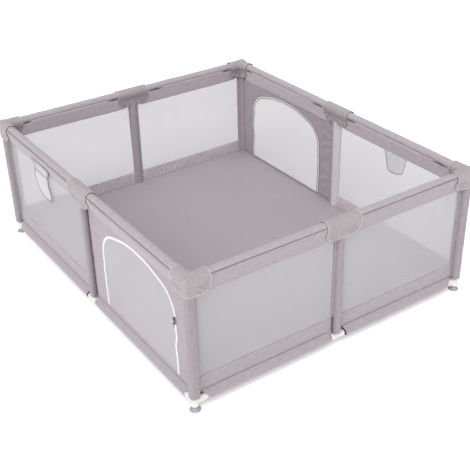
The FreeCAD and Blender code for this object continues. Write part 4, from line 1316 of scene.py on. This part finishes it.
CORNER_REACH = 38 * MM
CORNER_SEAM = 15.5 * MM
POST_BUMP = 12 * MM


def lining_inset(x, span):
    """How far in from a side's post line the tub's inner face lies: it passes inside the posts."""
    to_corner = span - np.abs(x)
    near_corner = np.clip((CORNER_REACH - to_corner) / (CORNER_REACH - CORNER_SEAM), 0, 1)
    over_post = np.where(np.abs(x) < 32 * MM, np.cos(np.pi * x / (64 * MM)) ** 2, 0)
    return LINING_Y + (CORNER_SEAM - LINING_Y) * near_corner + POST_BUMP * over_post


def post_lining(side, low_x, high_x, colour):
    """The tub's cloth where it passes inside a middle post."""
    x = np.linspace(low_x, high_x, 26)
    z = np.linspace(FLOOR_EDGE_Z - 3 * MM, CAP_BOTTOM + 10 * MM, 100)
    zz, xx = np.meshgrid(z, x, indexing="ij")
    seed = 1900 + list(TURN).index(side)
    y = lining_inset(xx, half_span(side)) + MM * (0.8 + 0.5 * rumple(zz, xx, 0.05, 0.03, seed))
    name = f"post_lining_{side}_{colour}"
    piece = cloth_piece(name, np.stack([xx, y, zz], -1), z, x, CLOTH[colour],
                        0.8 * MM, side=side)


def corner_lining(corner, seed):
    """The seam inside a corner, where two walls of the tub meet in front of the post."""
    along = np.array([CORNER_REACH, 0.7 * CORNER_REACH, CORNER_SEAM])
    across = np.array([LINING_Y, 0.4 * LINING_Y + 0.6 * 13.6 * MM, CORNER_SEAM])
    share = np.linspace(0, 2, 9)
    arm_x, arm_y = np.interp(share, [0, 1, 2], along), np.interp(share, [0, 1, 2], across)
    x = np.concatenate([arm_x, arm_y[-2::-1]])
    y = np.concatenate([arm_y, arm_x[-2::-1]])
    z = np.linspace(FLOOR_EDGE_Z - 3 * MM, CAP_BOTTOM + 10 * MM, 100)
    step = np.concatenate([[0], np.cumsum(np.hypot(np.diff(x), np.diff(y)))])
    zz, ss = np.meshgrid(z, step, indexing="ij")
    slack = MM * 0.7 * rumple(zz, ss, 0.04, 0.02, seed) * np.sin(math.pi * ss / step[-1] * 2) ** 2
    points = np.stack([x + slack, y + slack, zz], -1)
    data = grid_data(points, z, step)
    name = f"corner_lining_{corner}"
    piece = link(name, raw_mesh(name, moved(data[0], corner_place(corner)), *data[1:]),
                 CLOTH["cover"])
    solidify(piece, 0.8 * MM)


def make_mat():
    """The sewn-in floor: it hangs from the walls above the hem and settles nearly flat."""
    x = np.linspace(-HALF_LONG, HALF_LONG, 240)
    y = np.linspace(-HALF_SHORT, HALF_SHORT, 200)
    xx, yy = np.meshgrid(x, y, indexing="ij")
    to_x, to_y = HALF_LONG - np.abs(xx), HALF_SHORT - np.abs(yy)
    in_x = np.sign(xx) * lining_inset(yy, HALF_SHORT) * np.exp(-to_x / 0.06) * (to_x < 0.4)
    in_y = np.sign(yy) * lining_inset(xx, HALF_LONG) * np.exp(-to_y / 0.06) * (to_y < 0.4)
    px, py = xx - in_x, yy - in_y
    edge = np.minimum(to_x, to_y)
    raised = (FLOOR_EDGE_Z - FLOOR_Z) * (1 - ease(edge, 0, 0.2))
    swell = 3.6 * rumple(px, py, 0.42, 0.34, 2000) + 1.5 * rumple(px, py, 0.13, 0.12, 2001)
    ruck = 1.6 * np.cos((px + py) / (14 * MM) + 4 * rumple(px, py, 0.2, 0.2, 2002))
    zz = FLOOR_Z + raised + MM * (swell * ease(edge, 0.0, 0.2) + ruck * ease(edge, 0, 0.02)
                                  * np.exp(-edge / 0.05))
    for corner in ((-1, 1), (-1, -1), (1, -1), (1, 1)):
        from_x, from_y = corner[0] * HALF_LONG, corner[1] * HALF_SHORT
        facing = math.atan2(-corner[1], -corner[0])
        zz += fan(px, py, (from_x, from_y), facing, 0.75, 5, 0.17, 4.6 * MM)
    for post_x in (-1, 1):
        facing = math.pi if post_x > 0 else 0
        zz += fan(px, py, (post_x * HALF_LONG, 0), facing, 0.9, 4, 0.12, 3.2 * MM)
    points, faces, uvs = grid_data(np.stack([px, py, zz], -1), x, y)
    piece = link("floor_cloth", raw_mesh("floor_cloth", points, faces, uvs), CLOTH["floor"])
    solidify(piece, 1.2 * MM, -1)
    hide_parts("floor_mat")


def make_linings():
    for side in TURN:
        if side in LONG_SIDES:
            post_lining(side, -36 * MM, 14 * MM, "strip")
            post_lining(side, 13 * MM, 33 * MM, "cover")
        else:
            post_lining(side, -26 * MM, 26 * MM, "cover")
    for number, corner in enumerate(CORNER_TURN):
        corner_lining(corner, 1950 + number)


# ---------------------------------------------------------------- studio floor


def make_ground():
    bpy.ops.mesh.primitive_plane_add(size=300, location=(0, 0, -0.5 * MM))
    ground = bpy.context.object
    ground.name = "studio_floor"
    n = Nodes("studio_paper")
    ground.data.materials.append(n.finish(Base_Color=rgb(250, 250, 250), Roughness=0.9,
                                          Emission_Color=(1, 1, 1, 1), Emission_Strength=0.3))


make_camera()
make_studio()
make_ground()
finish_cad_nodes()
make_rails()
make_walls()
make_doors()
make_sleeves()
make_caps()
make_pockets()
make_mat()
make_linings()
